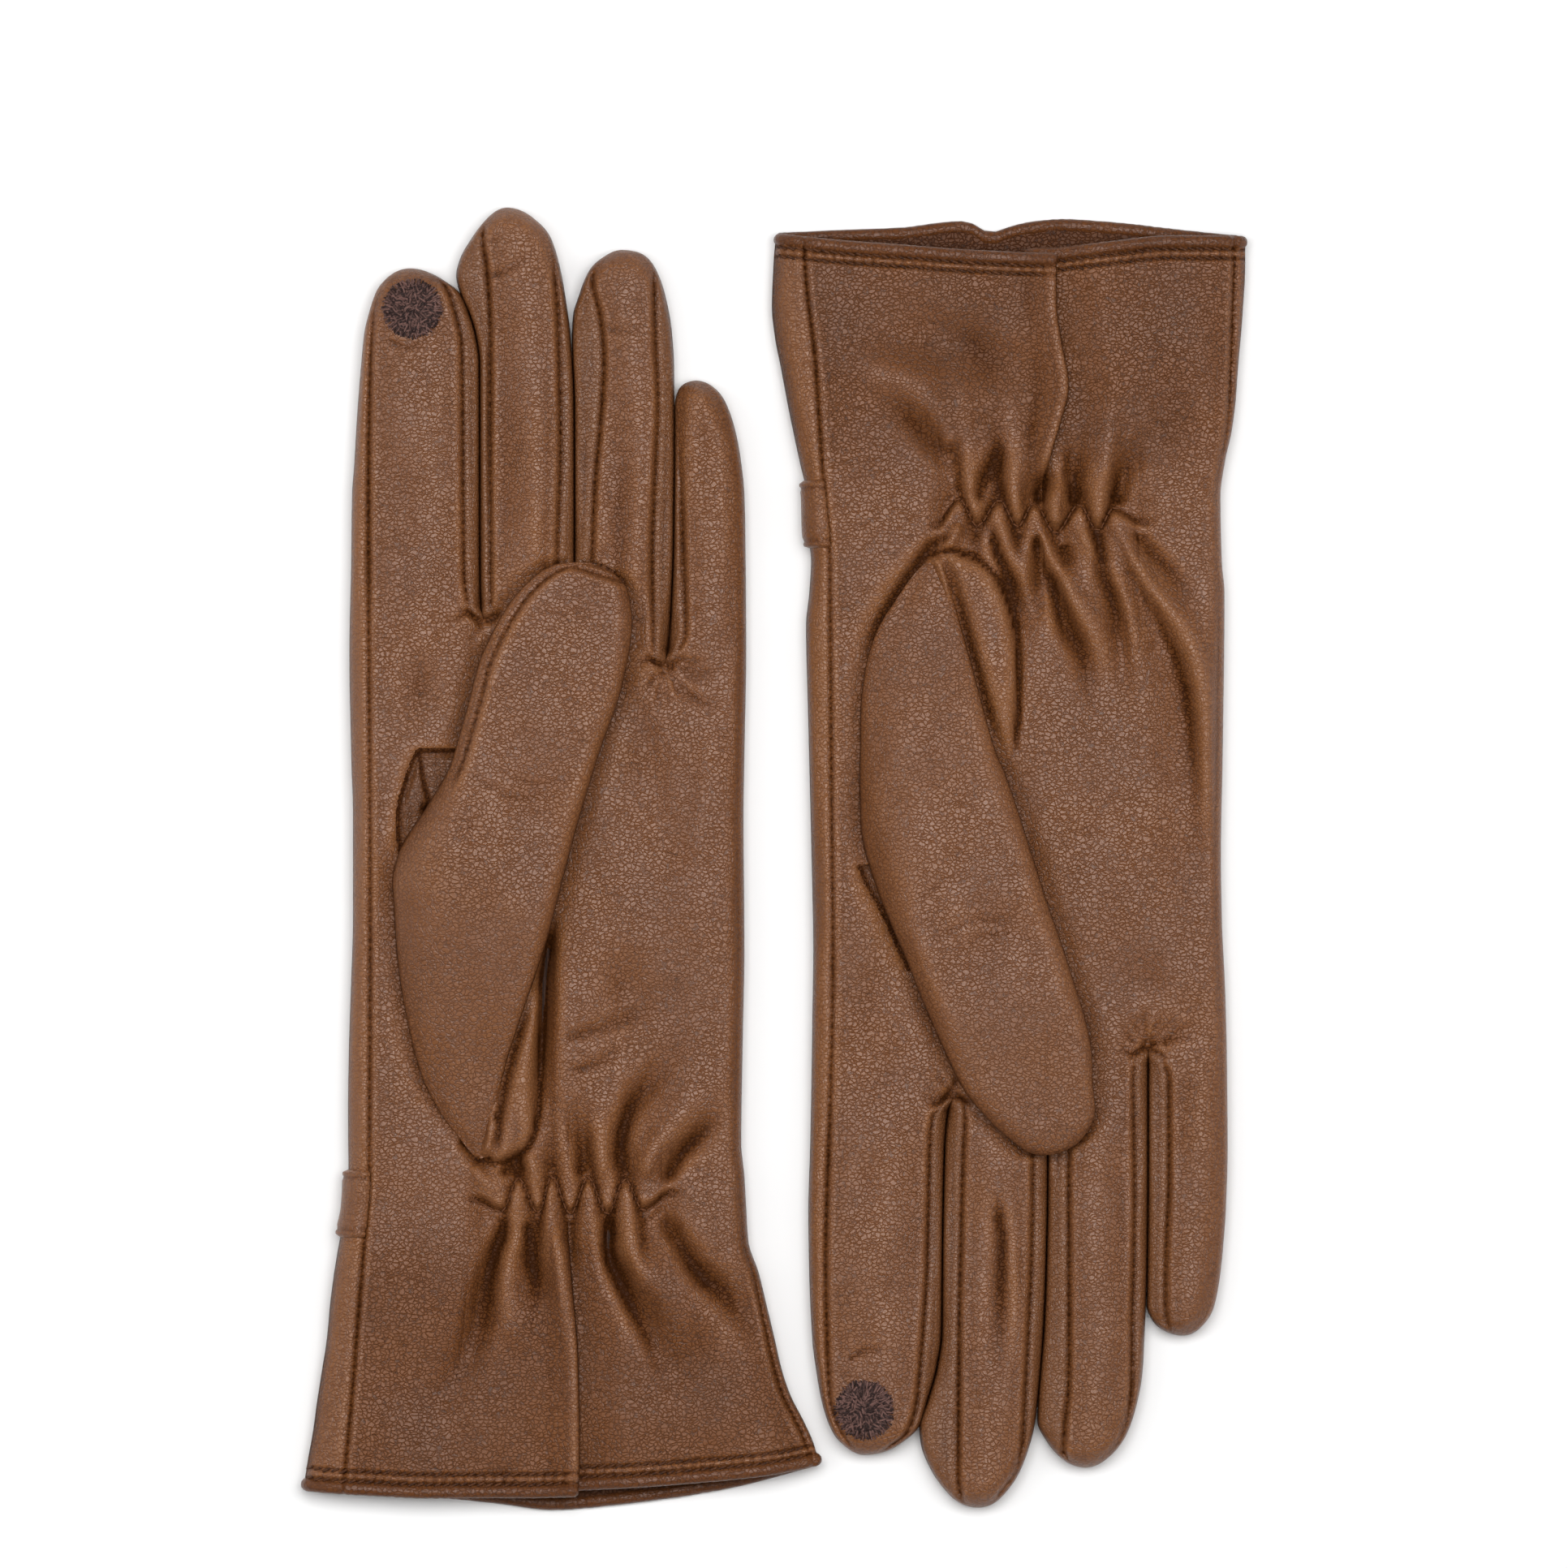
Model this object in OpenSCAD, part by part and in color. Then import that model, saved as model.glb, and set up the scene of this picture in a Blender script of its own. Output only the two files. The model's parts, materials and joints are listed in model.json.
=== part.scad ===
// A pair of leather touchscreen gloves, lying palm up side by side with the thumbs folded over the palms.
//
// Each glove is drawn in its own plan: u runs across it from the index-finger side, v runs from the wrist
// elastic to the fingertips, and z is up from the surface that it lies on. The right-hand glove is the
// mirror image of the left-hand one and lies the other way round.
//
// A glove is a flat tube of leather with a knitted lining inside. Its palm and its back are separate
// panels. Strips called fourchettes join them between the fingers, and along the two outer sides the
// back panel wraps over to the seam. Every finger folds at its middle joint and the thumb at its base.

/* [Fingers] */
// Width of each finger, index to little
finger_w = [27.2, 21.7, 21.4, 17.2]; // [16:0.1:30]
// Length of each finger from its gap to its fold, index to little
finger_base_l = [33, 38, 35, 27]; // [20:0.5:45]
// Length of each finger from its fold to its tip, index to little
finger_tip_l = [45, 53.5, 49, 36]; // [30:0.5:60]
// Space between two fingers
finger_gap = 0.5; // [0.4:0.1:2]
// Width of the leather that closes each fingertip over the seam
tip_lap = 6; // [3:0.5:8]

/* [Palm] */
// Length from the wrist elastic to the gap beside the little finger
palm_l = 118; // [105:0.5:130]
// How far the next two gaps lie beyond that one and each other
gap_step = [8, 2]; // [1:0.5:12]
// Thickness of the glove lying flat
hand_t = 10; // [9.5:0.5:12]
// Distance of the seams from the glove's edge
seam_in = 2.6; // [1.5:0.1:3.5]

/* [Thumb] */
// Width of the thumb
thumb_w = 28; // [25:0.5:30]
// Length of the thumb from its fold to its tip
thumb_l = 78; // [60:0.5:80]
// Thickness of the thumb
thumb_t = 8.5; // [8.2:0.1:10]
// Lean of the folded thumb towards the little finger, in degrees
thumb_lean = 17.5; // [14:0.5:20]
// Place of the middle of the thumb's fold
thumb_fold = [28.9, 65.8]; // [28:0.1:68]

/* [Cuff] */
// Length of the cuff below the wrist elastic
cuff_l = 66.5; // [55:0.5:80]
// How far the hem stands out past the palm, index side and little-finger side
cuff_flare = [9.5, 10.5]; // [5:0.5:14]
// Depth of the rolled hem
binding_w = 3; // [2:0.1:4]
// Place of the vent across the cuff
vent_u = 41; // [35:0.5:50]
// Width of the flap that laps over the vent
vent_lap = 8; // [5:0.5:12]
// Width of the vent's slit
vent_gap = 0.3; // [0.2:0.1:1]

/* [Wrist] */
// Lower and upper end of the drawn-in wrist
wrist_v = [-9, 4.5]; // [-12:0.5:8]
// How far the wrist is drawn in from below and from the index side
wrist_in = 1.1; // [1.05:0.05:1.3]
// How far the gathers draw the top of the wrist down
gather_in = 0.8; // [0.5:0.1:1]
// Length of the elastic across the palm side
elastic_l = 47; // [35:1:55]
// Width of the elastic
elastic_w = 6; // [4:0.5:8]
// Thickness of the elastic
elastic_t = 0.5; // [0.3:0.1:0.7]
// Width of the wrist strap
strap_w = 11.5; // [8:0.5:13]
// Length of the strap's run across the back
strap_l = 60; // [40:1:75]
// Thickness of the strap
strap_t = 1; // [0.8:0.1:1]

/* [Materials] */
// Thickness of the leather
leather_t = 0.9; // [0.7:0.1:1]
// Thickness of the lining
lining_t = 0.9; // [0.6:0.1:1]
// Radius of the touch patch on the index fingertip
patch_r = 6.6; // [5:0.1:8]
// Height of the touch patch's stitching over the leather
patch_t = 0.4; // [0.2:0.1:0.6]

/* [Pair] */
// Distance between the index-side edges of the two gloves
pair_pitch = 101.7; // [100:0.1:140]
// Distance from the middle of the pair to each wrist elastic
pair_wrist_v = 75; // [70:0.5:90]

/* [Hidden] */
$fn = 48;
SIDES = ["left", "right"];
FINGERS = ["index", "middle", "ring", "little"];
FINGER_PANELS = ["front", "back", "fourchettes", "lining"];
HAND_PIECES = [
    "palm_leather", "back_leather", "crotch_fourchettes", "hand_lining", "wrist_elastic",
    "cuff_binding", "wrist_strap", "thumb_gusset", "thumb_base",
];
THUMB_PIECES = ["thumb_front", "thumb_back", "thumb_lining"];
FINGER_PIECES = [for (finger = FINGERS, panel = FINGER_PANELS) str(finger, "_", panel)];
PIECES = concat(HAND_PIECES, FINGER_PIECES, ["touch_patch"], THUMB_PIECES);

leather_colour = [0.47, 0.32, 0.23];
fourchette_colour = [0.42, 0.28, 0.19];
trim_colour = [0.38, 0.25, 0.17];
lining_colour = [0.30, 0.20, 0.15];
elastic_colour = [0.83, 0.80, 0.74];
patch_colour = [0.28, 0.20, 0.21];

// Clearance at each fold, and how far a cutting solid runs past what it cuts.
fold_gap = 0.3;
past = 1;

hand_r = hand_t / 2;
palm_w = finger_u1(3);
crotch_v = [palm_l + gap_step[0] + gap_step[1], palm_l + gap_step[0], palm_l];
hem_v = -cuff_l;
binding_v = hem_v + binding_w;
inner_t = leather_t + lining_t;

// The wrist is a thinner tube than the palm and the cuff.
wrist_r = (hand_t - wrist_in - gather_in) / 2;
wrist_mid = wrist_in + wrist_r;
wrist_seam_in = 1.8;
strap_low_v = -8;
strap_v = [strap_low_v, strap_low_v + strap_w];
strap_front_u = wrist_in + wrist_seam_in - fold_gap / 3;

// Lines along which the cuff's round edges are centred: index side, then little-finger side.
cuff_top_out = [2.7, 0.4];
cuff_top_u = [hand_r - cuff_top_out[0], palm_w - hand_r + cuff_top_out[1]];
cuff_hem_u = [hand_r - cuff_flare[0], palm_w - hand_r + cuff_flare[1]];
cuff_facets = 12;

// The thumb lies over the palm with this much air under it.
thumb_air = 0.4;
thumb_r = thumb_t / 2;
thumb_mid = hand_t + thumb_air + thumb_r;
heel_centre = [31, 20];
heel_r = 10.3;
heel_top_z = hand_t + 2;
heel_rise_v = [8, 48];
thumb_shoulder = [11, 66];
gusset_t = 2;
gusset = [[11, 69], [15, 73.5], [21.4, 95.5], [14.4, 99], [12.2, 80]];
patch_v = tip_v(0) - 9;

function finger_u0(i) = i == 0 ? 0 : finger_u1(i - 1) + finger_gap;
function finger_u1(i) = finger_u0(i) + finger_w[i];
function finger_mid(i) = (finger_u0(i) + finger_u1(i)) / 2;
function finger_v0(i) = crotch_v[max(i - 1, 0)];
function fold_v(i) = finger_v0(i) + finger_base_l[i];
function tip_v(i) = fold_v(i) + finger_tip_l[i];
function cuff_u(side, v) =
    let (way = (wrist_v[0] - v) / (wrist_v[0] - hem_v))
    cuff_top_u[side] + way * (cuff_hem_u[side] - cuff_top_u[side]);
function unit(a) = a / norm(a);
function left_of(a) = [-a[1], a[0]];

// A convex outline, listed anticlockwise, with each edge moved in by its own distance.
function shrink(points, distances) = [
    for (i = [0:len(points) - 1])
        let (
            last = (i + len(points) - 1) % len(points),
            a = left_of(unit(points[i] - points[last])),
            b = left_of(unit(points[(i + 1) % len(points)] - points[i])),
            cross_ab = a[0] * b[1] - a[1] * b[0],
            da = distances[last],
            db = distances[i]
        )
        points[i] + [da * b[1] - db * a[1], a[0] * db - b[0] * da] / cross_ab
];

// Outline of the thumb's base where it is sewn into the palm; its first edge is the thumb's fold.
fold_across = [cos(thumb_lean), -sin(thumb_lean)] * thumb_w / 2;
thumb_leaf = concat(
    [thumb_fold + fold_across, thumb_fold - fold_across, thumb_shoulder],
    [for (turn = [195:18:357]) heel_centre + heel_r * [cos(turn), sin(turn)]]
);

module box(low, high) {
    translate(low)
        cube(high - low);
}

// Half a cylinder along v, round towards the index side (-1) or the little-finger side (1).
module half_rod(length, r, side) {
    rotate([0, -90 * side, 0])
        rotate([-90, 0, 0])
            rotate_extrude(angle = 180)
                square([r, length]);
}

// A flat length of tube with round sides.
module slab(u0, u1, v0, v1, z_mid, r) {
    box([u0 + r, v0, z_mid - r], [u1 - r, v1, z_mid + r]);
    translate([u0 + r, v0, z_mid])
        half_rod(v1 - v0, r, -1);
    translate([u1 - r, v0, z_mid])
        half_rod(v1 - v0, r, 1);
}

// The round end of a finger of half width big_r and half thickness r.
module round_end(big_r, r) {
    rotate_extrude(angle = 180) {
        translate([0, -r])
            square([big_r - r, 2 * r]);
        translate([big_r - r, 0])
            intersection() {
                circle(r);
                translate([0, -r])
                    square([r, 2 * r]);
            }
    }
}

// The part of a finger or thumb beyond its fold, which lies at v = 0.
module digit_solid(w, length, z_mid, r, inset, v0 = 0) {
    slab(-w / 2 + inset, w / 2 - inset, v0, length - w / 2, z_mid, r - inset);
    translate([0, length - w / 2, z_mid])
        round_end(w / 2 - inset, r - inset);
}

// The same part as a shell. Its end clears the fold: the palm side is cut back by half the thickness, so
// that the digit can stand up at a right angle.
module digit_shell(w, length, z_mid, r, outer, inner) {
    difference() {
        digit_solid(w, length, z_mid, r, outer);
        digit_solid(w, length, z_mid, r, inner, -past);
        box([-w, -past, z_mid - r - past], [w, fold_gap, z_mid + r + past]);
        box([-w, 0, z_mid], [w, r + fold_gap, z_mid + r + past]);
    }
}

// The plan of a digit's front and back panels, inside the seams.
module digit_panel(w, length, z_mid, r) {
    low = z_mid - r - past;
    high = z_mid + r + past;
    box([-w / 2 + seam_in, -past, low], [w / 2 - seam_in, length - w / 2, high]);
    translate([0, length - w / 2, low])
        rotate_extrude(angle = 180)
            square([w / 2 - seam_in, high - low]);
    box([-tip_lap / 2, length - w / 2, low], [tip_lap / 2, length + past, high]);
}

// A digit's front panel is on the palm side, above z_mid as it lies.
module digit_front(w, length, z_mid, r) {
    intersection() {
        digit_shell(w, length, z_mid, r, 0, leather_t);
        digit_panel(w, length, z_mid, r);
        box([-w, -past, z_mid], [w, length + past, z_mid + r + past]);
    }
}

// The strip between front and back along one side (-1 or 1) of a digit.
module digit_band(w, length, z_mid, r, side) {
    intersection() {
        difference() {
            digit_shell(w, length, z_mid, r, 0, leather_t);
            digit_panel(w, length, z_mid, r);
        }
        box([min(0, side * w), -past, 0], [max(0, side * w), length + past, z_mid + r + past]);
    }
}

module digit_back(w, length, z_mid, r, outer_sides) {
    intersection() {
        digit_shell(w, length, z_mid, r, 0, leather_t);
        digit_panel(w, length, z_mid, r);
        box([-w, -past, z_mid - r - past], [w, length + past, z_mid]);
    }
    for (side = outer_sides)
        digit_band(w, length, z_mid, r, side);
}

module at_finger(i) {
    translate([finger_mid(i), fold_v(i), 0])
        children();
}

module finger_front(i) {
    color(leather_colour)
        at_finger(i)
            digit_front(finger_w[i], finger_tip_l[i], hand_r, hand_r);
}

module finger_back(i) {
    outer_sides = i == 0 ? [-1] : i == 3 ? [1] : [];
    color(leather_colour)
        at_finger(i)
            digit_back(finger_w[i], finger_tip_l[i], hand_r, hand_r, outer_sides);
}

module finger_fourchettes(i) {
    inner_sides = i == 0 ? [1] : i == 3 ? [-1] : [-1, 1];
    color(fourchette_colour)
        at_finger(i)
            for (side = inner_sides)
                digit_band(finger_w[i], finger_tip_l[i], hand_r, hand_r, side);
}

module finger_lining(i) {
    color(lining_colour)
        at_finger(i)
            digit_shell(finger_w[i], finger_tip_l[i], hand_r, hand_r, leather_t, inner_t);
}

// Conductive thread embroidered through the index fingertip; it stands a little over the leather.
module touch_patch() {
    color(patch_colour)
        difference() {
            intersection() {
                at_finger(0)
                    digit_solid(finger_w[0], finger_tip_l[0], hand_r, hand_r, -patch_t);
                translate([finger_mid(0), patch_v, hand_r])
                    cylinder(r = patch_r, h = hand_t);
            }
            at_finger(0)
                digit_solid(finger_w[0], finger_tip_l[0], hand_r, hand_r, 0);
        }
}

// The flared cuff between two values of v, as a flat tube with slanting sides that are bent round in facets.
module cuff_solid(inset, v0, v1) {
    r = hand_r - inset;
    low_v = v0 - past;
    high_v = v1 + past;
    intersection() {
        union() {
            translate([0, 0, inset])
                linear_extrude(2 * r)
                    polygon([
                        [cuff_u(0, low_v), low_v], [cuff_u(1, low_v), low_v],
                        [cuff_u(1, high_v), high_v], [cuff_u(0, high_v), high_v],
                    ]);
            for (side = [0, 1]) {
                run = [cuff_u(side, high_v) - cuff_u(side, low_v), high_v - low_v];
                translate([cuff_u(side, low_v), low_v, hand_r])
                    rotate([-90, 0, -atan(run[0] / run[1])])
                        rotate([0, 0, 180 / cuff_facets])
                            cylinder(r = r, h = norm(run), $fn = cuff_facets);
            }
        }
        box([cuff_u(0, v0) - hand_t, v0, -past], [cuff_u(1, v0) + hand_t, v1, hand_t + past]);
    }
}

// Cuff, wrist, palm and finger bases, up to the folds. The ends run on by open where it is a cavity.
module hand_solid(inset, open) {
    r = hand_r - inset;
    cuff_solid(inset, binding_v - open, wrist_v[0] - inset);
    slab(wrist_in + inset, palm_w - inset, wrist_v[0] - inset, wrist_v[1] + inset, wrist_mid, wrist_r - inset);
    for (k = [0:2]) {
        v0 = k == 0 ? wrist_v[1] + inset : crotch_v[3 - k] - inset;
        slab(inset, finger_u1(3 - k) - inset, v0, crotch_v[2 - k] - inset, hand_r, r);
    }
    for (i = [0:3])
        slab(finger_u0(i) + inset, finger_u1(i) - inset, finger_v0(i) - inset, fold_v(i) + open, hand_r, r);
}

module hand_shell(outer, inner) {
    difference() {
        hand_solid(outer, 0);
        hand_solid(inner, past);
    }
}

// The plan of the palm and back panels, inside the seams.
module hand_panel() {
    low = -past;
    high = hand_t + past;
    in_r = hand_r - seam_in;
    translate([0, 0, low])
        linear_extrude(high - low)
            polygon([
                [cuff_u(0, hem_v) - in_r, hem_v], [cuff_u(1, hem_v) + in_r, hem_v],
                [cuff_u(1, wrist_v[0]) + in_r, wrist_v[0]], [cuff_u(0, wrist_v[0]) - in_r, wrist_v[0]],
            ]);
    box([wrist_in + wrist_seam_in, wrist_v[0], low], [palm_w - wrist_seam_in, wrist_v[1], high]);
    for (k = [0:2]) {
        v0 = k == 0 ? wrist_v[1] : crotch_v[3 - k] - seam_in;
        box([seam_in, v0, low], [finger_u1(3 - k) - seam_in, crotch_v[2 - k] - seam_in, high]);
    }
    for (i = [0:3])
        box(
            [finger_u0(i) + seam_in, finger_v0(i) - seam_in, low],
            [finger_u1(i) - seam_in, fold_v(i) + past, high]
        );
}

// Everything on the palm side (above the middle) or the back.
module half_space(upper) {
    reach = 2 * palm_w;
    z = upper ? hand_r : -past;
    box([-reach, hem_v - past, z], [reach, tip_v(1), z + hand_r + past]);
}

// The space between the finger bases, where the fourchettes are sewn in.
module crotch_zone() {
    box([finger_mid(0), crotch_v[2] - 2 * seam_in, -past], [finger_mid(3), fold_v(1) + past, hand_t + past]);
}

// The vent's slit through the palm side of the cuff, up to a height top.
module vent_slit(top = hand_t + past) {
    box([vent_u, hem_v - past, hand_r], [vent_u + vent_gap, wrist_v[0] / 2, top]);
}

// The flap that laps over the slit; it is joined on the index side only.
module vent_flap(v0, v1) {
    air = vent_gap / 2;
    box([vent_u - leather_t, v0, hand_t + air], [vent_u + vent_lap, v1, hand_t + air + leather_t]);
    box([vent_u - leather_t, v0, hand_t - leather_t / 2], [vent_u, v1, hand_t + air + leather_t]);
}

// The thumb's base leaf from the palm up, inside the leather by inset on every edge but the fold.
module thumb_base_solid(inset, open) {
    edges = concat([-open], [for (i = [1:len(thumb_leaf) - 1]) inset]);
    top = thumb_mid + thumb_r - inset;
    intersection() {
        translate([0, 0, hand_t - open])
            linear_extrude(2 * thumb_t)
                polygon(shrink(thumb_leaf, edges));
        rotate([90, 0, 90])
            linear_extrude(palm_w)
                polygon([
                    [0, hand_t - open], [2 * thumb_fold[1], hand_t - open], [2 * thumb_fold[1], top],
                    [heel_rise_v[1], top], [heel_rise_v[0], heel_top_z - inset], [0, heel_top_z - inset],
                ]);
    }
}

// The hole in the palm through which the thumb goes.
module thumb_hole() {
    translate([0, 0, hand_r])
        linear_extrude(hand_r + past)
            polygon(shrink(thumb_leaf, [for (point = thumb_leaf) inner_t]));
}

module palm_leather() {
    color(leather_colour)
        difference() {
            union() {
                intersection() {
                    hand_shell(0, leather_t);
                    hand_panel();
                    half_space(true);
                }
                vent_flap(binding_v, wrist_v[0]);
            }
            vent_slit(hand_t + vent_gap / 2);
            thumb_hole();
        }
}

module back_leather() {
    color(leather_colour) {
        intersection() {
            hand_shell(0, leather_t);
            hand_panel();
            half_space(false);
        }
        difference() {
            hand_shell(0, leather_t);
            hand_panel();
            crotch_zone();
        }
    }
}

module crotch_fourchettes() {
    color(fourchette_colour)
        intersection() {
            difference() {
                hand_shell(0, leather_t);
                hand_panel();
            }
            crotch_zone();
        }
}

module hand_lining() {
    color(lining_colour) {
        difference() {
            hand_shell(leather_t, inner_t);
            vent_slit();
            thumb_hole();
            elastic_box();
        }
        difference() {
            thumb_base_solid(leather_t, 0);
            thumb_base_solid(inner_t, past);
        }
    }
}

module elastic_box() {
    top = wrist_mid + wrist_r - leather_t;
    middle = palm_w / 2 + hand_r;
    box(
        [middle - elastic_l / 2, -elastic_w / 2, top - elastic_t],
        [middle + elastic_l / 2, elastic_w / 2, top]
    );
}

// The stretched elastic that gathers the wrist lies between the leather and the lining.
module wrist_elastic() {
    color(elastic_colour)
        elastic_box();
}

// The hem is rolled over the ends of the leather and the lining.
module cuff_binding() {
    color(trim_colour) {
        difference() {
            cuff_solid(0, hem_v, binding_v);
            cuff_solid(inner_t, hem_v - past, binding_v + past);
            vent_slit();
        }
        difference() {
            vent_flap(hem_v, binding_v);
            box([vent_u - leather_t - past, hem_v - past, 0], [vent_u + past, binding_v + past, hand_t]);
        }
    }
}

// The strap starts at the palm-side seam, wraps the index side and runs across the back.
module wrist_strap() {
    color(trim_colour)
        difference() {
            intersection() {
                slab(
                    wrist_in - strap_t, palm_w + strap_t, strap_v[0], strap_v[1],
                    wrist_mid, wrist_r + strap_t
                );
                union() {
                    box([-past, strap_v[0], 0], [strap_front_u, strap_v[1], hand_t]);
                    box([-past, strap_v[0], 0], [strap_l, strap_v[1], hand_r]);
                }
            }
            slab(wrist_in, palm_w, strap_v[0] - past, strap_v[1] + past, wrist_mid, wrist_r);
        }
}

// The three-cornered gusset in the fork between the thumb and the index finger.
module thumb_gusset() {
    color(fourchette_colour)
        translate([0, 0, hand_t])
            linear_extrude(gusset_t)
                polygon(gusset);
}

module thumb_base() {
    color(leather_colour)
        difference() {
            thumb_base_solid(0, 0);
            thumb_base_solid(leather_t, past);
        }
}

module at_thumb() {
    translate([thumb_fold[0], thumb_fold[1], 0])
        rotate([0, 0, -thumb_lean])
            children();
}

module thumb_front() {
    color(leather_colour)
        at_thumb()
            digit_front(thumb_w, thumb_l, thumb_mid, thumb_r);
}

module thumb_back() {
    color(fourchette_colour)
        at_thumb()
            digit_back(thumb_w, thumb_l, thumb_mid, thumb_r, [-1, 1]);
}

module thumb_lining() {
    color(lining_colour)
        at_thumb()
            digit_shell(thumb_w, thumb_l, thumb_mid, thumb_r, leather_t, inner_t);
}

// Draws one piece of a glove by its name.
module glove_piece(piece) {
    if (piece == "palm_leather") palm_leather();
    if (piece == "back_leather") back_leather();
    if (piece == "crotch_fourchettes") crotch_fourchettes();
    if (piece == "hand_lining") hand_lining();
    if (piece == "wrist_elastic") wrist_elastic();
    if (piece == "cuff_binding") cuff_binding();
    if (piece == "wrist_strap") wrist_strap();
    if (piece == "thumb_gusset") thumb_gusset();
    if (piece == "thumb_base") thumb_base();
    if (piece == "touch_patch") touch_patch();
    if (piece == "thumb_front") thumb_front();
    if (piece == "thumb_back") thumb_back();
    if (piece == "thumb_lining") thumb_lining();
    for (i = [0:3]) {
        if (piece == str(FINGERS[i], "_front")) finger_front(i);
        if (piece == str(FINGERS[i], "_back")) finger_back(i);
        if (piece == str(FINGERS[i], "_fourchettes")) finger_fourchettes(i);
        if (piece == str(FINGERS[i], "_lining")) finger_lining(i);
    }
}

// Lays a glove in the pair, which is centred on the origin across and along.
module lay(side) {
    edge_u = (pair_pitch + palm_w + cuff_flare[1] - cuff_flare[0]) / 2;
    if (side == "left")
        translate([-edge_u, -pair_wrist_v, 0])
            children();
    else
        translate([pair_pitch - edge_u, pair_wrist_v, 0])
            mirror([0, 1, 0])
                children();
}

for (side = SIDES, piece = PIECES)
    lay(side)
            glove_piece(piece);
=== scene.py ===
"""Looks for a pair of brown leather touchscreen gloves, lying palm up with the thumbs folded over the palms.

Each glove is modelled in its own plan, in millimetres: u runs across it from the index side, v runs from the
wrist elastic to the fingertips and z is up. The palm side and the back are two sheets of the same outline.
"""
import json
import math

import bpy
import numpy as np
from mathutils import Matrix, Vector

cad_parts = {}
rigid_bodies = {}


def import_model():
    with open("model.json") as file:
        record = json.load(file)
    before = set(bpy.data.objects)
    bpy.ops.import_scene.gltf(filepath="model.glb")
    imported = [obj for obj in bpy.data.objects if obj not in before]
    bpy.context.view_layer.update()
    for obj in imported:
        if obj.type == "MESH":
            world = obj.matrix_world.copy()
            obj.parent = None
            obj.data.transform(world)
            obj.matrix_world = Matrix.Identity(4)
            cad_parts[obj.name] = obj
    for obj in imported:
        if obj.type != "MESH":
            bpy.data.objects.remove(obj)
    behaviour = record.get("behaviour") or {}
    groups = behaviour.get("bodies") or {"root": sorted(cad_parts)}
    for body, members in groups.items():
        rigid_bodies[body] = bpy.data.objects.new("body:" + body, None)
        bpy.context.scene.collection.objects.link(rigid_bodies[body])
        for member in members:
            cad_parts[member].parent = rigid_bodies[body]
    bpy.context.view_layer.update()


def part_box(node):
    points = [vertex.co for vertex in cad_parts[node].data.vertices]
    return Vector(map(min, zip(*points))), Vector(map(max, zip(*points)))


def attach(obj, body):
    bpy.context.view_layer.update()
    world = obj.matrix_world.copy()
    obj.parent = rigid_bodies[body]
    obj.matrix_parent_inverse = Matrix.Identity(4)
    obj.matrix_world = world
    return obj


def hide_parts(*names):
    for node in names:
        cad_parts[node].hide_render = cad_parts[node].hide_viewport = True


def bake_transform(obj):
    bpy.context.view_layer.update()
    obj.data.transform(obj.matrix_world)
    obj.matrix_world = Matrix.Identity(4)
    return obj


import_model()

rng = np.random.default_rng(7)
MM = 0.001
Z_MID = 4.8  # height of the edge where palm side and back meet
TOP_RISE, BACK_DROP = 5.2, 4.7  # from there to the palm side and to the back
FLOOR_GAP = 0.05
HEM_V = -66.0
HEM_ROWS = (2.5, 4.7)  # the two rows of stitches, from the hem
STITCH = 2.2  # pitch of the stitches of a seam
LEATHER_T, LINING_T = 0.7, 0.6
LINING_INSET = 1.7
STRAP_V = (-8.8, 5.8)
STRAP_END_U = 60
FINGERS = ["index", "middle", "ring", "little"]
FOLD_V = [161.0, 166.0, 161.0, 145.0]
FOLD_HALF = 9.0  # half the length of the stretch at a fold: a finger's or the thumb's own pieces begin this far before it
THUMB_FOLD = (28.9, 65.8, 14.65)
THUMB_LEAN = math.radians(17.5)

# ------------------------------------------------------------------------------------------ glove tables
# A glove is four strips side by side, one for each finger, numbered from the index finger. Outlines ("left"
# on the index side, "right" on the other) and seams are (v, u) points from low v to the fingertip. "inner"
# is where two strips meet below a finger fork, and "between" is the line that two fingers share above it.
# outlines() adds the points of the forks ("crotch", u and v) and the tips (v and u). "wrap" is how far the
# back comes round the little-finger side at each v. The gusset's edges are (v, u) too, and all other lines
# on the palm are (u, v). The hem's tables give how far it lies from its straight line at each u. The
# thumb's edges are (q, p) in its own plan.

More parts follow.
